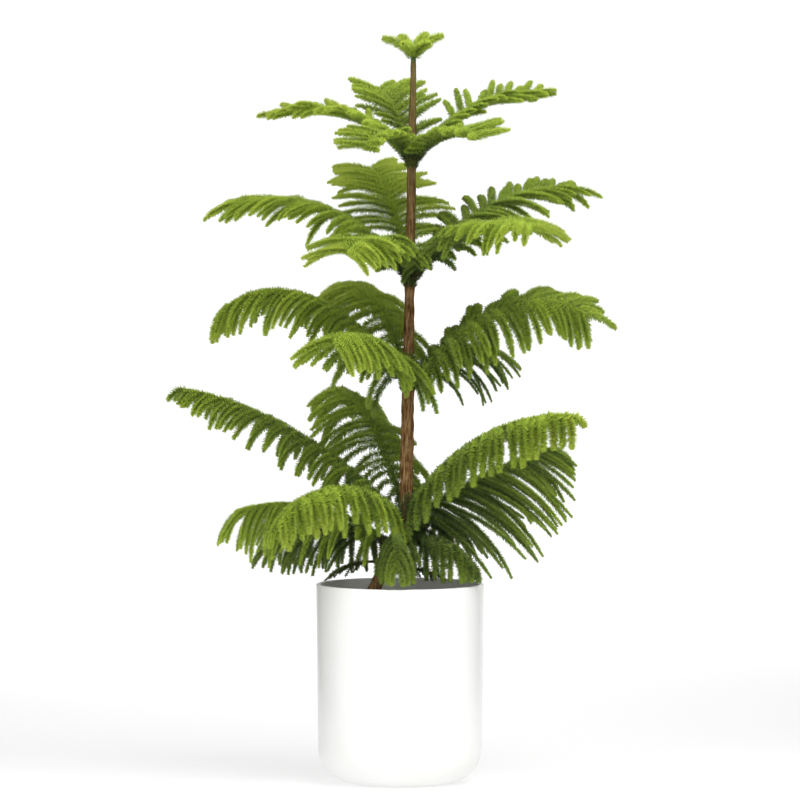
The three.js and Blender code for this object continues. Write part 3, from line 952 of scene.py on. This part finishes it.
# In the order in which they grow.
BRANCHES = (
    Branch(
        1, "left", 176, 178, (57, -16),
        sprays=dict(length=54, droop=34, roll=-4, rows=(1, 0.6), spacing=(8, 12)), dress=dict(tint=4.8),
    ),
    Branch(1, "back", 107, 168, (55, 0), sprays=dict(length=54)),
    Branch(1, "right", 22, 188, (56, -6), sprays=dict(roll=8, rows=(0.8, 1), spacing=(13, 8))),
    Branch(
        1, "front_right", -46, 124, (53, -14),
        sprays=dict(length=50, leave=(72, 64), tip=0.25, rows=(1, 0.6), spacing=(8, 8)),
        dress=dict(length=7.0, along=1.4),
    ),
    Branch(
        1, "front_left", -116, 136, (53, -26),
        sprays=dict(leave=(72, 64), tip=0.25, rows=(0.6, 1), spacing=(8, 8)),
        dress=dict(length=7.0, along=1.4),
    ),
    Branch(
        2, "left", 178, 246, (62, -14),
        sprays=dict(length=74, lift=8, roll=-2, rows=(1, 0.55), spacing=(8.5, 12)),
        dress=dict(tint=4.6),
    ),
    Branch(2, "back", 106, 226, (60, 6), dress=dict(tint=5.2)),
    Branch(2, "right", 20, 240, (57, -2), sprays=dict(roll=10, rows=(0.75, 1), spacing=(12, 8))),
    Branch(
        2, "front_right", -40, 206, (52, -6),
        sprays=dict(length=78, droop=64, leave=(72, 60), tip=0.25, spacing=(8.5, 8.5)),
        dress=dict(tint=3.7, length=7.2, along=3.8),
    ),
    Branch(
        2, "front_left", -115, 190, (54, -20),
        sprays=dict(length=70, droop=60, leave=(72, 60), tip=0.25, spacing=(8.5, 8.5)),
        dress=dict(tint=3.6, length=7.2, along=4.6),
    ),
    Branch(3, "left", 175, 276, (50, -52), 2.2, sprays=dict(length=66), dress=dict(tint=4.7)),
    Branch(3, "back", 114, 240, (55, -12), 1.3, dress=dict(tint=5.2)),
    Branch(
        3, "back_right", 54, 170, (34, -14), sprays=dict(length=84, rows=(0.6, 1)),
        dress=dict(tint=2.6, length=4.6),
    ),
    Branch(
        3, "right", -8, 252, (50, -33), 1.9,
        sprays=dict(length=74, droop=60, leave=(84, 50), bend=0.9, roll=18, spacing=(10, 7.5)),
        dress=dict(tint=4.0, length=8.2),
    ),
    Branch(
        3, "front_left", -118, 200, (46, -8), 1.2,
        sprays=dict(length=72, droop=78, leave=(96, 46), foot=0.0, tip=0.2),
        dress=dict(tint=4.1, length=7.8, along=2.6),
    ),
    Branch(4, "left", 171, 318, (46, 10), 1.2, sprays=dict(length=54, tip=0.6), dress=dict(tint=4.0)),
    Branch(4, "back", 112, 275, (60, 2), dress=dict(tint=4.3)),
    Branch(
        4, "right", 12, 204, (34, 16), sector=(-75, 66),
        sprays=dict(
            length=128, lift=-38, droop=34, leave=(46, 36), spacing=(7, 6.5), bend=1.0, widest=0.16,
            foot=0.1, tip=0.75,
        ),
        dress=dict(tint=3.1, length=5.8, fresh=1.6),
    ),
    Branch(
        4, "front_right", -32, 284, (62, 1), sector=(-108, 12),
        sprays=dict(
            length=62, droop=100, leave=(92, 46), roll=10, rows=(0.5, 1), foot=0.0, spacing=(14, 13),
        ),
        dress=dict(
            # Painted light: this bough's upper needles are tinted much lighter and its lower ones
            # darker.
            per_mm=4.8, tint=3.8, length=9.0, width=3.3, spread=(60, 44), along=3.2, painted_top_light=1.0,
        ),
    ),
    Branch(
        4, "front_left", -138, 218, (46, -40), 1.1,
        sprays=dict(length=60, leave=(92, 46), foot=0.0, spacing=(12, 12)),
        dress=dict(per_mm=4.6, tint=4.8, length=8.4, width=3.0),
    ),
    Branch(5, "left", 195, 208, (40, -16), 1.2, sprays=dict(length=90), dress=dict(tint=4.3)),
    Branch(
        5, "front", -88, 120, (46, -60), sprays=dict(length=54, spacing=(12, 12)),
        dress=dict(per_mm=4.6, tint=3.0, length=7.4, width=2.6),
    ),
    Branch(
        5, "right", -30, 120, (34, -50), sprays=dict(length=60, spacing=(12, 12)),
        dress=dict(per_mm=4.6, tint=2.5, length=7.4, width=2.6),
    ),
    Branch(5, "back_right", 57, 162, (36, -28)),
    Branch(5, "back_left", 140, 190, (26, -28), sprays=dict(length=84)),
)

# Degrees by which every whorl leans down towards the front, where the light comes from.
FRONT_LEAN = 4.0

# How far branchlets differ from their rule: in degrees, and as shares.
VARIATION = dict(leave=7.0, lift=10.0, length=0.1, droop=0.22, place=0.2)
STAGGER = 0.2  # of the spacing, between a branchlet and the middle of its stretch
CROWDING = 0.86  # under 1, branchlets stand closer towards the branch's tip
DROOP_NEAR = 1.15  # share of the droop at the trunk
DROOP_LESS = 0.5  # how much smaller that share is at the tip
TIP_BEND = 2.2  # how late branchlets shorten towards the stem's tip
STEEPEST = -86.0  # no branchlet ends steeper
SHORTEST = 12.0  # nor is it shorter
CUT_BACK = 0.9  # share of its length that it keeps at each cut
BRANCHLET_STEPS = 10
FIRST_SEED = 1000  # of the first branch's stream, and SEED_STEP from each branch to the next
SEED_STEP = 77
NEEDLE_SEED = 20  # of the stream that places and tints the needles
TINT_VARIES = 0.3  # steps of the palette that branchlets of one branch differ by

# A bare bough, with the cushions of its old leaf bases and its swelling at the trunk.
BOUGH_RADII = (3.9, 2.7)
BOUGH_RING = 1.2  # between two rings of its mesh
BOUGH_SIDES = 12
CUSHION_HEIGHT = 0.3
CUSHION_PITCH = 1.1
CUSHION_TURNS = 2
SWELL_HEIGHT = 1.2
SWELL_REACH = 14.0

# The stem past it, and the branchlets on that.
STEM_RADII = (2.6, 1.1)
STEM_RING = 8.0
STEM_SIDES = 8
TWIG = Wood((0.85, 0.5), 6, 4)

# How the needles on a bough, on the stem past it and on the trunk differ from the branchlets'.
BOUGH_DRESS = dict(per_mm=5.0, spread=(62.0, 56.0), fresh=1.0)
STEM_DRESS = dict(per_mm=4.0, spread=(56.0, 36.0), fresh=2.4)
SLEEVE_DRESS = dict(per_mm=9.0, spread=(50.0, 40.0), fresh=1.6)
BOUGH_DARKER = 3.0  # steps of the palette
STEM_DARKER = 0.7
SLEEVE_DARKER = 1.4
BOUGH_DARKEST = 0.4
SLEEVE_DARKEST = 0.6
STEM_SHORTER = 0.9  # share of the length, on bough and stem

# The two nearly bare twigs at the trunk's foot: azimuth, height, length, rise and seed.
OLD_TWIGS = ((184, 262, 80, (14, -44), 31), (-24, 250, 82, (24, -30), 47))
OLD_WOOD = Wood((1.9, 0.8), 40, 8)
OLD_CLAD = ((0.3, 1.0), (1.7, 0.8))  # their needles' span and the radii at its ends
OLD_SPRAYS = Sprays(24.0, 0.0, 40.0, (50.0, 30.0), (9.0, 9.0))
OLD_DRESS = Dress(per_mm=1.5, length=4.0, tint=1.4, fresh=0.6)

# The tuft's shoots: azimuth, length and rise.
SHOOTS = (
    (178, 42, (54, 8)), (124, 36, (64, 16)), (60, 40, (64, 16)),
    (14, 43, (56, 14)), (-48, 32, (50, 6)), (-116, 32, (50, 6)),
)
SHOOT = Wood((1.7, 1.0), 12, 6)
SHOOT_CLAD = (0.05, 1.0)
SHOOTS_AT = 0.6  # share of the stalk's length where they leave
STALK = Wood((3.4, 1.8), 8, 12)
STALK_CLAD = ((0.2, 1.0), (3.2, 1.8))
STALK_LENGTH = 11.0
STALK_SUNK = 2.0  # into the trunk's tip
STALK_TINT = 3.0
TUFT_DRESS = Dress(per_mm=6.5, length=8.2, tint=5.2, spread=(64.0, 44.0), fresh=1.0)


def leaning(branch: Branch) -> Pair:
    """A branch's rise with its whorl's lean towards the front."""
    lean = FRONT_LEAN * math.sin(math.radians(branch.azimuth))
    return branch.rise[0] + lean, branch.rise[1] + lean


def bark_share(line: Line) -> float:
    """Where a branch leaves the trunk's bark, as a share of its length."""
    steep = math.cos(math.radians(line.rise[0]))
    return float(TRUNK.radius(line.points[0][2])) / steep / line.length


def bare_share(line: Line) -> float:
    """Where a branch's bare bough ends and its foliage starts."""
    return bark_share(line) + max(BARE_SHARE, BARE_LEAST / line.length)


def outline(s: float, bare: float, sprays: Sprays) -> float:
    """Shapes the fan that the branchlets fill.

    Args:
        s: The share of the stem's length.
        bare: The share where the foliage starts.
        sprays: The rule of the branchlets.

    Returns:
        Their length there, as a share of the longest.
    """
    if s < sprays.widest:
        return 1 - sprays.foot * ((sprays.widest - s) / (sprays.widest - bare)) ** 2
    return 1 - sprays.tip * ((s - sprays.widest) / (1 - sprays.widest)) ** TIP_BEND


@dataclass
class Crown:
    """The room that the branchlets hold, so that no two masses grow through each other."""

    cubes: dict[tuple[int, int, int], list[tuple[np.ndarray, str]]] = field(default_factory=dict)

    def cube(self, point: np.ndarray) -> tuple[int, int, int]:
        """The cube that a point lies in."""
        return tuple(int(math.floor(c / ROOM)) for c in point)

    def add(self, points: np.ndarray, owner: str) -> None:
        """Gives the room round some points to a mass."""
        for point in points:
            self.cubes.setdefault(self.cube(point), []).append((point, owner))

    def is_free(self, points: np.ndarray, owner: str) -> bool:
        """Tells whether no other mass holds the room near some points.

        Args:
            points: The points.
            owner: The mass that they belong to.

        Returns:
            Whether the room is free.
        """
        around = (-1, 0, 1)
        for point in points:
            i, j, k = self.cube(point)
            near = [(i + a, j + b, k + c) for a in around for b in around for c in around]
            for key in near:
                for held, other in self.cubes.get(key, ()):
                    if other != owner and math.dist(held, point) < ROOM:
                        return False
        return True


def is_inside(points: np.ndarray, sector: Pair | None) -> bool:
    """Tells whether points lie clear of the trunk, above the rim and inside a sector.

    Args:
        points: The points.
        sector: The azimuths that bound it, or nothing for all round.

    Returns:
        Whether all of them do.
    """
    if points[:, 2].min() < LOWEST or not TRUNK.clears(points, EDGE):
        return False
    if sector is None:
        return True
    off = points - TRUNK.axis(points[:, 2].clip(TRUNK.foot, TRUNK.tip))
    first, last = np.radians(sector)
    past_first = -off[:, 0] * math.sin(first) + off[:, 1] * math.cos(first)
    before_last = off[:, 0] * math.sin(last) - off[:, 1] * math.cos(last)
    return bool((past_first > -OVERREACH).all() and (before_last > -OVERREACH).all())


def branchlet(stem: Line, s: float, side: int, sprays: Sprays, chance: Chance) -> dict:
    """The shape of one branchlet.

    Args:
        stem: The stem's line.
        s: The share of the stem's length where it leaves.
        side: 1 for the stem's left and -1 for its right.
        sprays: The rule.
        chance: The stream of random numbers.

    Returns:
        What Line takes.
    """
    forward = stem.tangent(s)
    outward = np.cross(UP, forward)
    outward *= side / np.linalg.norm(outward)
    aside = math.radians(lerp(*sprays.leave, s) + chance.around(VARIATION["leave"]))
    raised = sprays.lift + side * sprays.roll + chance.around(VARIATION["lift"])
    raised = math.radians(raised)
    start = math.cos(raised) * (math.cos(aside) * forward + math.sin(aside) * outward)
    start = start + math.sin(raised) * stem.above(s)
    first = math.degrees(math.asin(start[2]))
    share = outline(s, bare_share(stem), sprays)
    share *= sprays.rows[0 if side > 0 else 1]
    length = sprays.length * share * (1 + chance.around(VARIATION["length"]))
    droop = sprays.droop * (DROOP_NEAR - DROOP_LESS * s)
    turn = droop * (1 + chance.around(VARIATION["droop"]))
    return {
        "base": stem.at(s),
        "azimuth": math.degrees(math.atan2(start[1], start[0])),
        "length": length,
        "rise": (first, max(STEEPEST, first - turn)),
        "bend": sprays.bend,
        "steps": BRANCHLET_STEPS,
    }


def with_room(shape: dict, owner: str, sector: Pair | None, crown: Crown) -> Line | None:
    """Cuts a branchlet back until it has room.

    Args:
        shape: What Line takes.
        owner: The mass that it belongs to.
        sector: The azimuths that bound the mass.
        crown: The room that is held, which gets the branchlet.

    Returns:
        Its line, or nothing where even a short one has no room.
    """
    while shape["length"] > SHORTEST:
        line = Line(**shape)
        points = line.samples()
        if is_inside(points, sector) and crown.is_free(points, owner):
            crown.add(points, owner)
            return line
        shape = {**shape, "length": shape["length"] * CUT_BACK}
    return None


@dataclass
class Grower:
    """Grows the branches and hands out their bark, twigs and needles."""

    wardrobe: Wardrobe
    crown: Crown = field(default_factory=Crown)
    draw: np.random.Generator = field(default_factory=lambda: np.random.default_rng(NEEDLE_SEED))

    def bark_limb(self, line: Line, end: float, pile: Pile) -> None:
        """Adds a bare bough with the cushions of its old leaf bases, from inside the trunk.

        Args:
            line: The branch's line.
            end: The share of its length where the foliage starts.
            pile: Gets the bough.
        """
        rings = round(line.length * end / BOUGH_RING)
        along = np.linspace(0, line.length * end, rings)[:, None]
        turn = CUSHION_TURNS * np.linspace(0, 2 * math.pi, BOUGH_SIDES, endpoint=False)[None]
        climb = along / CUSHION_PITCH
        cushions = np.cos(turn + climb) * np.cos(turn - climb)
        swell = SWELL_HEIGHT * np.exp(-((along / SWELL_REACH) ** 2))
        plain = lerp(*BOUGH_RADII, np.linspace(0, 1, rings))[:, None]
        pile.add(*tube(line, 0.0, end, plain + swell + CUSHION_HEIGHT * cushions, BOUGH_SIDES))

    def whorl(self, whorl: Whorl) -> None:
        """Grows one whorl.

        Args:
            whorl: Its branches and rules.
        """
        bark, twigs, shades = Pile(), Pile(), Shades()
        base = TRUNK.axis(whorl.height)
        lines = [Line(base, b.azimuth, b.length, leaning(b), b.bend) for b in whorl.branches]
        for branch, line in zip(whorl.branches, lines):
            self.crown.add(line.samples(), f"{whorl.number}_{branch.side}")
        for branch, line, sector in zip(whorl.branches, lines, whorl.sectors()):
            sprays = replace(whorl.sprays, **branch.sprays)
            tilt = FRONT_LEAN * math.cos(math.radians(branch.azimuth))
            sprays = replace(sprays, roll=sprays.roll + tilt)
            dress = replace(whorl.dress, **branch.dress)
            bare = bare_share(line)
            self.bark_limb(line, bare, bark)
            stem = Wood(STEM_RADII, round(line.length / STEM_RING), STEM_SIDES)
            stem.grow(line, twigs, bare)
            self.clothe_stem(line, dress, shades)
            owner = f"{whorl.number}_{branch.side}"
            chance = Chance(FIRST_SEED + SEED_STEP * BRANCHES.index(branch))
            self.branchlets(line, sprays, dress, owner, sector, chance, twigs, shades)
        self.sleeve(whorl, shades)
        boughs = nodes_named(f"bough_{whorl.number}_")
        masses = nodes_named(f"foliage_{whorl.number}_")
        bark.build(f"bark_boughs_{whorl.number}", self.wardrobe.bough_bark, "bark", boughs)
        twigs.build(f"twigs_{whorl.number}", self.wardrobe.twig, "foliage", masses)
        shades.build(f"needles_{whorl.number}", self.wardrobe, masses)

    def sleeve(self, whorl: Whorl, shades: Shades) -> None:
        """Sets needles round the trunk where a whorl's boughs leave it.

        Args:
            whorl: The whorl.
            shades: Gets the needles.
        """
        low, high = whorl.sleeve
        ends = TRUNK.axis(np.array([low - 1, low + 1, high - 1, high + 1]))
        rise = [math.degrees(math.atan2(2, ends[i + 1][0] - ends[i][0])) for i in (0, 2)]
        line = Line(TRUNK.axis(low), 0, high - low, (rise[0], rise[1]))
        radii = (float(TRUNK.radius(low)), float(TRUNK.radius(high)))
        tint = max(SLEEVE_DARKEST, whorl.dress.tint - SLEEVE_DARKER)
        dress = replace(whorl.dress, tint=tint, **SLEEVE_DRESS)
        clothe(line, (0.0, 1.0), radii, dress, shades, self.draw)

    def clothe_stem(self, line: Line, dress: Dress, shades: Shades) -> None:
        """Sets dark needles on the bough and brighter ones on the stem past it.

        Args:
            line: The branch's line.
            dress: What the needles of its branchlets are like.
            shades: Gets the needles.
        """
        bare = bare_share(line)
        dress = replace(dress, length=STEM_SHORTER * dress.length)
        tint = max(BOUGH_DARKEST, dress.tint - BOUGH_DARKER)
        dark = replace(dress, tint=tint, **BOUGH_DRESS)
        clothe(line, (bark_share(line), bare), BOUGH_RADII, dark, shades, self.draw)
        bright = replace(dress, tint=dress.tint - STEM_DARKER, **STEM_DRESS)
        clothe(line, (bare, 1.0), STEM_RADII, bright, shades, self.draw)

    def branchlets(
        self,
        line: Line,
        sprays: Sprays,
        dress: Dress,
        owner: str,
        sector: Pair | None,
        chance: Chance,
        twigs: Pile,
        shades: Shades,
    ) -> None:
        """Grows the two rows of branchlets of one stem.

        Args:
            line: The stem's line.
            sprays: The rule of the branchlets.
            dress: What their needles are like.
            owner: The mass that they belong to.
            sector: The azimuths that bound it.
            chance: The stream of random numbers of the rule.
            twigs: Gets their twigs.
            shades: Gets their needles.
        """
        bare = bare_share(line)
        run = 1 - bare
        for side, spacing in zip((1, -1), sprays.spacing):
            count = round(run * line.length / spacing)
            for i in range(count):
                step = i + 0.5 + STAGGER * side + chance.around(VARIATION["place"])
                s = bare + run * (step / count) ** CROWDING
                shape = branchlet(line, s, side, sprays, chance)
                grown = with_room(shape, owner, sector, self.crown)
                if grown:
                    level = dress.tint + dress.along * (s - 0.5)
                    level += self.draw.normal(0, TINT_VARIES)
                    TWIG.grow(grown, twigs)
                    own = replace(dress, tint=level)
                    clothe(grown, (0.0, 1.0), TWIG.radii, own, shades, self.draw)

    def old_twigs(self) -> None:
        """Grows the two nearly bare twigs at the trunk's foot."""
        bark, shades = Pile(), Shades()
        for azimuth, height, length, rise, seed in OLD_TWIGS:
            line = Line(TRUNK.axis(height), azimuth, length, rise)
            OLD_WOOD.grow(line, bark)
            clothe(line, *OLD_CLAD, OLD_DRESS, shades, self.draw)
            owner = f"old_{seed}"
            chance = Chance(seed)
            self.branchlets(line, OLD_SPRAYS, OLD_DRESS, owner, None, chance, bark, shades)
        nodes = nodes_named("old_twig_")
        bark.build("bark_old_twigs", self.wardrobe.bough_bark, "bark", nodes)
        shades.build("needles_old", self.wardrobe, nodes)

    def tuft(self) -> None:
        """Grows the shoots that crown the trunk, from a stalk on its tip."""
        twigs, shades = Pile(), Shades()
        stalk = Line(TRUNK.axis(TRUNK.tip) - STALK_SUNK * UP, 0, STALK_LENGTH, (90, 90))
        STALK.grow(stalk, twigs)
        clothe(stalk, *STALK_CLAD, replace(TUFT_DRESS, tint=STALK_TINT), shades, self.draw)
        for azimuth, length, rise in SHOOTS:
            line = Line(stalk.at(SHOOTS_AT), azimuth, length, rise)
            SHOOT.grow(line, twigs)
            clothe(line, SHOOT_CLAD, SHOOT.radii, TUFT_DRESS, shades, self.draw)
        nodes = nodes_named("foliage_tip")
        twigs.build("twigs_tip", self.wardrobe.twig, "foliage", nodes)
        shades.build("needles_tip", self.wardrobe, nodes)

    def build(self) -> None:
        """Grows all the whorls, the old twigs and the tuft."""
        for whorl in WHORLS:
            self.whorl(whorl)
        self.old_twigs()
        self.tuft()


# ---- Pot and soil ----


def choose(piece: Object, mode: str, wanted: Callable[[Vector], bool]) -> None:
    """Selects the faces or edges in edit mode whose every vertex a test wants.

    Args:
        piece: The object in edit mode.
        mode: FACE or EDGE.
        wanted: The test of a vertex's place, in millimetres.
    """
    bpy.ops.mesh.select_mode(type=mode)
    bpy.ops.mesh.select_all(action="DESELECT")
    edited = bmesh.from_edit_mesh(piece.data)
    for element in edited.faces if mode == "FACE" else edited.edges:
        element.select = all(wanted(piece.matrix_world @ v.co / MM) for v in element.verts)
    bmesh.update_edit_mesh(piece.data)


def tapered_cylinder(low: float, high: float, bottom: float, top: float, sides: int) -> Object:
    """Starts a piece as an upright cylinder, in edit mode.

    Args:
        low: Its radius at the bottom.
        high: Its radius at the top.
        bottom: The height of its bottom.
        top: The height of its top.
        sides: The number of sides.

    Returns:
        The object.
    """
    bpy.ops.object.select_all(action="DESELECT")
    bpy.ops.mesh.primitive_cylinder_add(
        vertices=sides,
        radius=high * MM,
        depth=(top - bottom) * MM,
        location=(0, 0, (bottom + (top - bottom) / 2) * MM),
    )
    made = bpy.context.object
    bpy.ops.object.mode_set(mode="EDIT")
    choose(made, "FACE", lambda p: p.z < bottom + 1)
    bpy.ops.transform.resize(value=(low / high, low / high, 1))
    return made


def round_edges(piece: Object, wanted: Callable[[Vector], bool], radius: float, segments: int) -> None:
    """Bevels the edges of a piece in edit mode whose vertices a test wants."""
    choose(piece, "EDGE", wanted)
    bpy.ops.mesh.bevel(offset=radius * MM, segments=segments, affect="EDGES")


@dataclass
class Pot:
    """A turned pot with a nearly straight wall, a rounded foot and a thin lip."""

    height: float = 238.0
    rim_radius: float = 100.0
    low_radius: float = 97.0
    bottom_round: float = 42.0
    wall: float = 5.0
    floor: float = 7.0
    lip_round: float = 1.5
    segments: tuple[int, int, int] = (5, 10, 14)  # of the lip's, the inner and the outer rounding
    smooth: float = 40.0  # degrees, edges sharper than this stay sharp
    sides: int = 128

    def build(self, wardrobe: Wardrobe) -> None:
        """Hollows a cylinder and rounds its edges.

        Args:
            wardrobe: The materials.
        """
        pot = tapered_cylinder(self.low_radius, self.rim_radius, 0, self.height, self.sides)
        top = self.height - 1
        choose(pot, "FACE", lambda p: p.z > top)
        bpy.ops.mesh.inset(thickness=self.wall * MM)
        down = (0, 0, (self.floor - self.height) * MM)
        bpy.ops.mesh.extrude_region_move(TRANSFORM_OT_translate={"value": down})
        narrowed = (self.low_radius - self.wall) / (self.rim_radius - self.wall)
        bpy.ops.transform.resize(value=(narrowed, narrowed, 1))
        lip, inner, outer = self.segments
        inner_round = self.bottom_round - self.wall
        round_edges(pot, lambda p: p.z > top, self.lip_round, lip)
        round_edges(pot, lambda p: abs(p.z - self.floor) < 1, inner_round, inner)
        round_edges(pot, lambda p: p.z < 1, self.bottom_round, outer)
        close_up()
        bpy.ops.object.shade_smooth_by_angle(angle=math.radians(self.smooth))
        finish_piece(pot, "pot_shell", wardrobe.glaze, ["pot"])


@dataclass
class Soil:
    """The peat that fills the pot, with a low mound at the trunk's foot and loose crumbs."""

    surface: float = 195.0
    bottom: float = 7.3
    top_radius: float = 94.3
    low_radius: float = 91.7
    rings: int = 26
    sides: int = 96
    bottom_round: float = 24.0
    segments: int = 6
    smooth: float = 50.0
    inset: float = 0.97  # share of the top that the rings take in
    # Height, width and place in the noise of the lumps.
    lumps: tuple[tuple[float, float, float], ...] = ((1.5, 14.0, 3.1), (1.1, 4.5, 8.7))
    mound: float = 3.2  # height of the mound at the trunk's foot
    mound_radius: float = 24.0
    settled: float = 0.8  # how far the rest lies under the surface
    crumbs: int = 900
    crumb_size: Pair = (0.7, 2.4)
    crumb_flat: float = 0.55  # share of its length that a crumb is high
    crumb_rough: Pair = (0.75, 1.2)  # shares by which its corners differ
    crumb_lift: float = 0.2  # share of its length that its middle lies over the soil
    margin: float = 4.0  # between the crumbs and the soil's edge
    seed: int = 7

    def height_at(self, x: float, y: float) -> float:
        """Adds up two sizes of lumps and the mound.

        Args:
            x: A place on the soil.
            y: Its other coordinate.

        Returns:
            The soil's height there, over its surface.
        """
        places = [(high, Vector((x / wide, y / wide, z))) for high, wide, z in self.lumps]
        lumps = sum(high * noise.noise(place) for high, place in places)
        foot = TRUNK.axis(TRUNK.foot)
        off = (x - foot[0]) ** 2 + (y - foot[1]) ** 2
        return lumps + self.mound * math.exp(-off / self.mound_radius**2) - self.settled

    def build(self, wardrobe: Wardrobe) -> None:
        """Insets a cylinder's top into rings and gives them the soil's lumps.

        Args:
            wardrobe: The materials.
        """
        low, high = self.low_radius, self.top_radius
        soil = tapered_cylinder(low, high, self.bottom, self.surface, self.sides)
        choose(soil, "FACE", lambda p: p.z > self.surface - 1)
        for _ in range(self.rings):
            bpy.ops.mesh.inset(thickness=self.inset * self.top_radius / self.rings * MM)
        round_edges(soil, lambda p: p.z < self.bottom + 1, self.bottom_round, self.segments)
        close_up()
        for vertex in soil.data.vertices:
            place = vertex.co / MM
            if place.z > self.surface - 1 and place.xy.length < self.top_radius - 1:
                vertex.co.z += self.height_at(place.x, place.y) * MM
        bpy.ops.object.shade_smooth_by_angle(angle=math.radians(self.smooth))
        finish_piece(soil, "soil_bed", wardrobe.peat, ["soil"])
        self.scatter(wardrobe)

    def scatter(self, wardrobe: Wardrobe) -> None:
        """Strews crumbs of peat and bark fines over the bed.

        Args:
            wardrobe: The materials.
        """
        draw = np.random.default_rng(self.seed)
        bpy.ops.mesh.primitive_ico_sphere_add(subdivisions=1, radius=1)
        ball = bpy.context.object
        shape = np.array([vertex.co for vertex in ball.data.vertices])
        faces = np.array([list(face.vertices) for face in ball.data.polygons])
        bpy.data.objects.remove(ball)
        pile = Pile()
        for _ in range(self.crumbs):
            reach = (self.top_radius - self.margin) * math.sqrt(draw.uniform())
            turn = draw.uniform(0, 2 * math.pi)
            x, y = reach * math.cos(turn), reach * math.sin(turn)
            long = draw.uniform(*self.crumb_size)
            size = long * np.array([1, draw.uniform(0.5, 1), self.crumb_flat])
            rough = shape * draw.uniform(*self.crumb_rough, (len(shape), 1)) * size
            spin = draw.uniform(0, 2 * math.pi)
            c, s = math.cos(spin), math.sin(spin)
            turned = rough @ np.array([[c, s, 0], [-s, c, 0], [0, 0, 1]])
            z = self.surface + self.height_at(x, y) + self.crumb_lift * size[0]
            pile.add(turned + np.array([x, y, z]), faces)
        pile.build("soil_crumbs", wardrobe.peat, "soil", ["soil"])


# ---- Studio ----


@dataclass
class Studio:
    """A lit floor and wall, two dark flags beside the plant, soft light and a long lens."""

    distance: float = 9500.0
    elevation: float = 3.0
    aim: float = 457.0  # height that the camera looks at
    view_width: float = 952.0  # across the frame, at the trunk
    sensor: float = 36.0
    far: float = 200_000.0  # nothing past this is drawn
    floor_size: float = 60000.0
    wall_distance: float = 15000.0
    flag_size: float = 1500.0
    flag_sides: Pair = (-720.0, 980.0)  # x of the flags, just outside the view
    floor_color: str = "#a9a9a9"
    floor_glow: float = 0.6
    card_color: str = "#202020"
    room: float = 0.8  # strength of the light from all round
    lamps: tuple[tuple[str, float, float, float, float], ...] = (
        # Name, azimuth, elevation, strength and angle of spread.
        ("key", -58, 52, 1.5, 40),
        ("front", -110, 28, 0.5, 60),
    )

    def build(self) -> None:
        """Makes the floor, the flags, the lights and the camera."""
        self.floor()
        self.flags()
        self.lights()
        self.camera()

    def stand(
        self,
        name: str,
        size: float,
        place: tuple[float, float, float],
        turn: tuple[float, float, float],
        material: Material,
    ) -> Object:
        """Stands a square sheet that is no part of the plant.

        Args:
            name: Its name.
            size: The length of its sides.
            place: Its middle.
            turn: Its rotation, as Euler angles.
            material: Its finish.

        Returns:
            The sheet.
        """
        bpy.ops.object.select_all(action="DESELECT")
        middle = Vector(place) * MM
        bpy.ops.mesh.primitive_plane_add(size=size * MM, location=middle, rotation=turn)
        sheet = bpy.context.object
        sheet.name = name
        sheet.data.materials.append(material)
        return sheet

    def floor(self) -> None:
        """Lays the floor under the pot and stands a wall of the same stuff far behind it."""
        look = {"Base Color": srgb(self.floor_color), "Roughness": 0.9, "Specular IOR Level": 0.1}
        glow = {"Emission Color": srgb("#ffffff"), "Emission Strength": self.floor_glow}
        glass = plain_material("milky_lit_glass", {**look, **glow})
        self.stand("studio_floor", self.floor_size, (0, 0, 0), (0, 0, 0), glass)
        behind = (0, self.wall_distance, 0)
        self.stand("studio_wall", self.floor_size, behind, (math.pi / 2, 0, 0), glass)

    def flags(self) -> None:
        """Stands a dark card on each side, which draws the edges of the white pot.

        The camera doesn't see them, so they never stand before the plant.
        """
        look = {"Base Color": srgb(self.card_color), "Roughness": 0.9}
        black = plain_material("black_card", look)
        for name, side in zip(("studio_flag_left", "studio_flag_right"), self.flag_sides):
            place = (side, self.flag_size / 2, self.flag_size / 2)
            card = self.stand(name, self.flag_size, place, (0, math.pi / 2, 0), black)
            card.visible_camera = False

    def lights(self) -> None:
        """Lights the scene with a bright room and two broad soft lamps."""
        world = bpy.data.worlds.new("bright_room")
        world.use_nodes = True
        tree = world.node_tree
        look = {"Color": srgb("#ffffff"), "Strength": self.room}
        set_node(tree, tree.nodes["Background"], look, {})
        bpy.context.scene.world = world
        for name, turn, rise, strength, spread in self.lamps:
            lamp = bpy.data.lights.new(name, "SUN")
            lamp.energy = strength
            lamp.angle = math.radians(spread)
            holder = bpy.data.objects.new(name, lamp)
            towards = Vector(direction(turn, rise))
            holder.rotation_euler = towards.to_track_quat("Z", "Y").to_euler()
            bpy.context.scene.collection.objects.link(holder)
        bpy.context.scene.view_settings.view_transform = "Standard"

    def camera(self) -> None:
        """Sets the camera in front of the plant, a little above it."""
        lens = bpy.data.cameras.new("camera")
        lens.sensor_width = self.sensor
        lens.lens = self.sensor * self.distance / self.view_width
        lens.clip_end = self.far * MM
        holder = bpy.data.objects.new("camera", lens)
        back = Vector(direction(-90, self.elevation))
        holder.location = (Vector((0, 0, self.aim)) + back * self.distance) * MM
        holder.rotation_euler = back.to_track_quat("Z", "Y").to_euler()
        bpy.context.scene.collection.objects.link(holder)
        bpy.context.scene.camera = holder


def main() -> None:
    """Builds the plant, its pot and the studio."""
    logging.basicConfig(level=logging.INFO, format="%(name)s %(message)s")
    wardrobe = Wardrobe()
    Pot().build(wardrobe)
    Soil().build(wardrobe)
    TRUNK.build(wardrobe, [whorl.height for whorl in WHORLS])
    Grower(wardrobe).build()
    Studio().build()


if __name__ == "__main__":
    main()
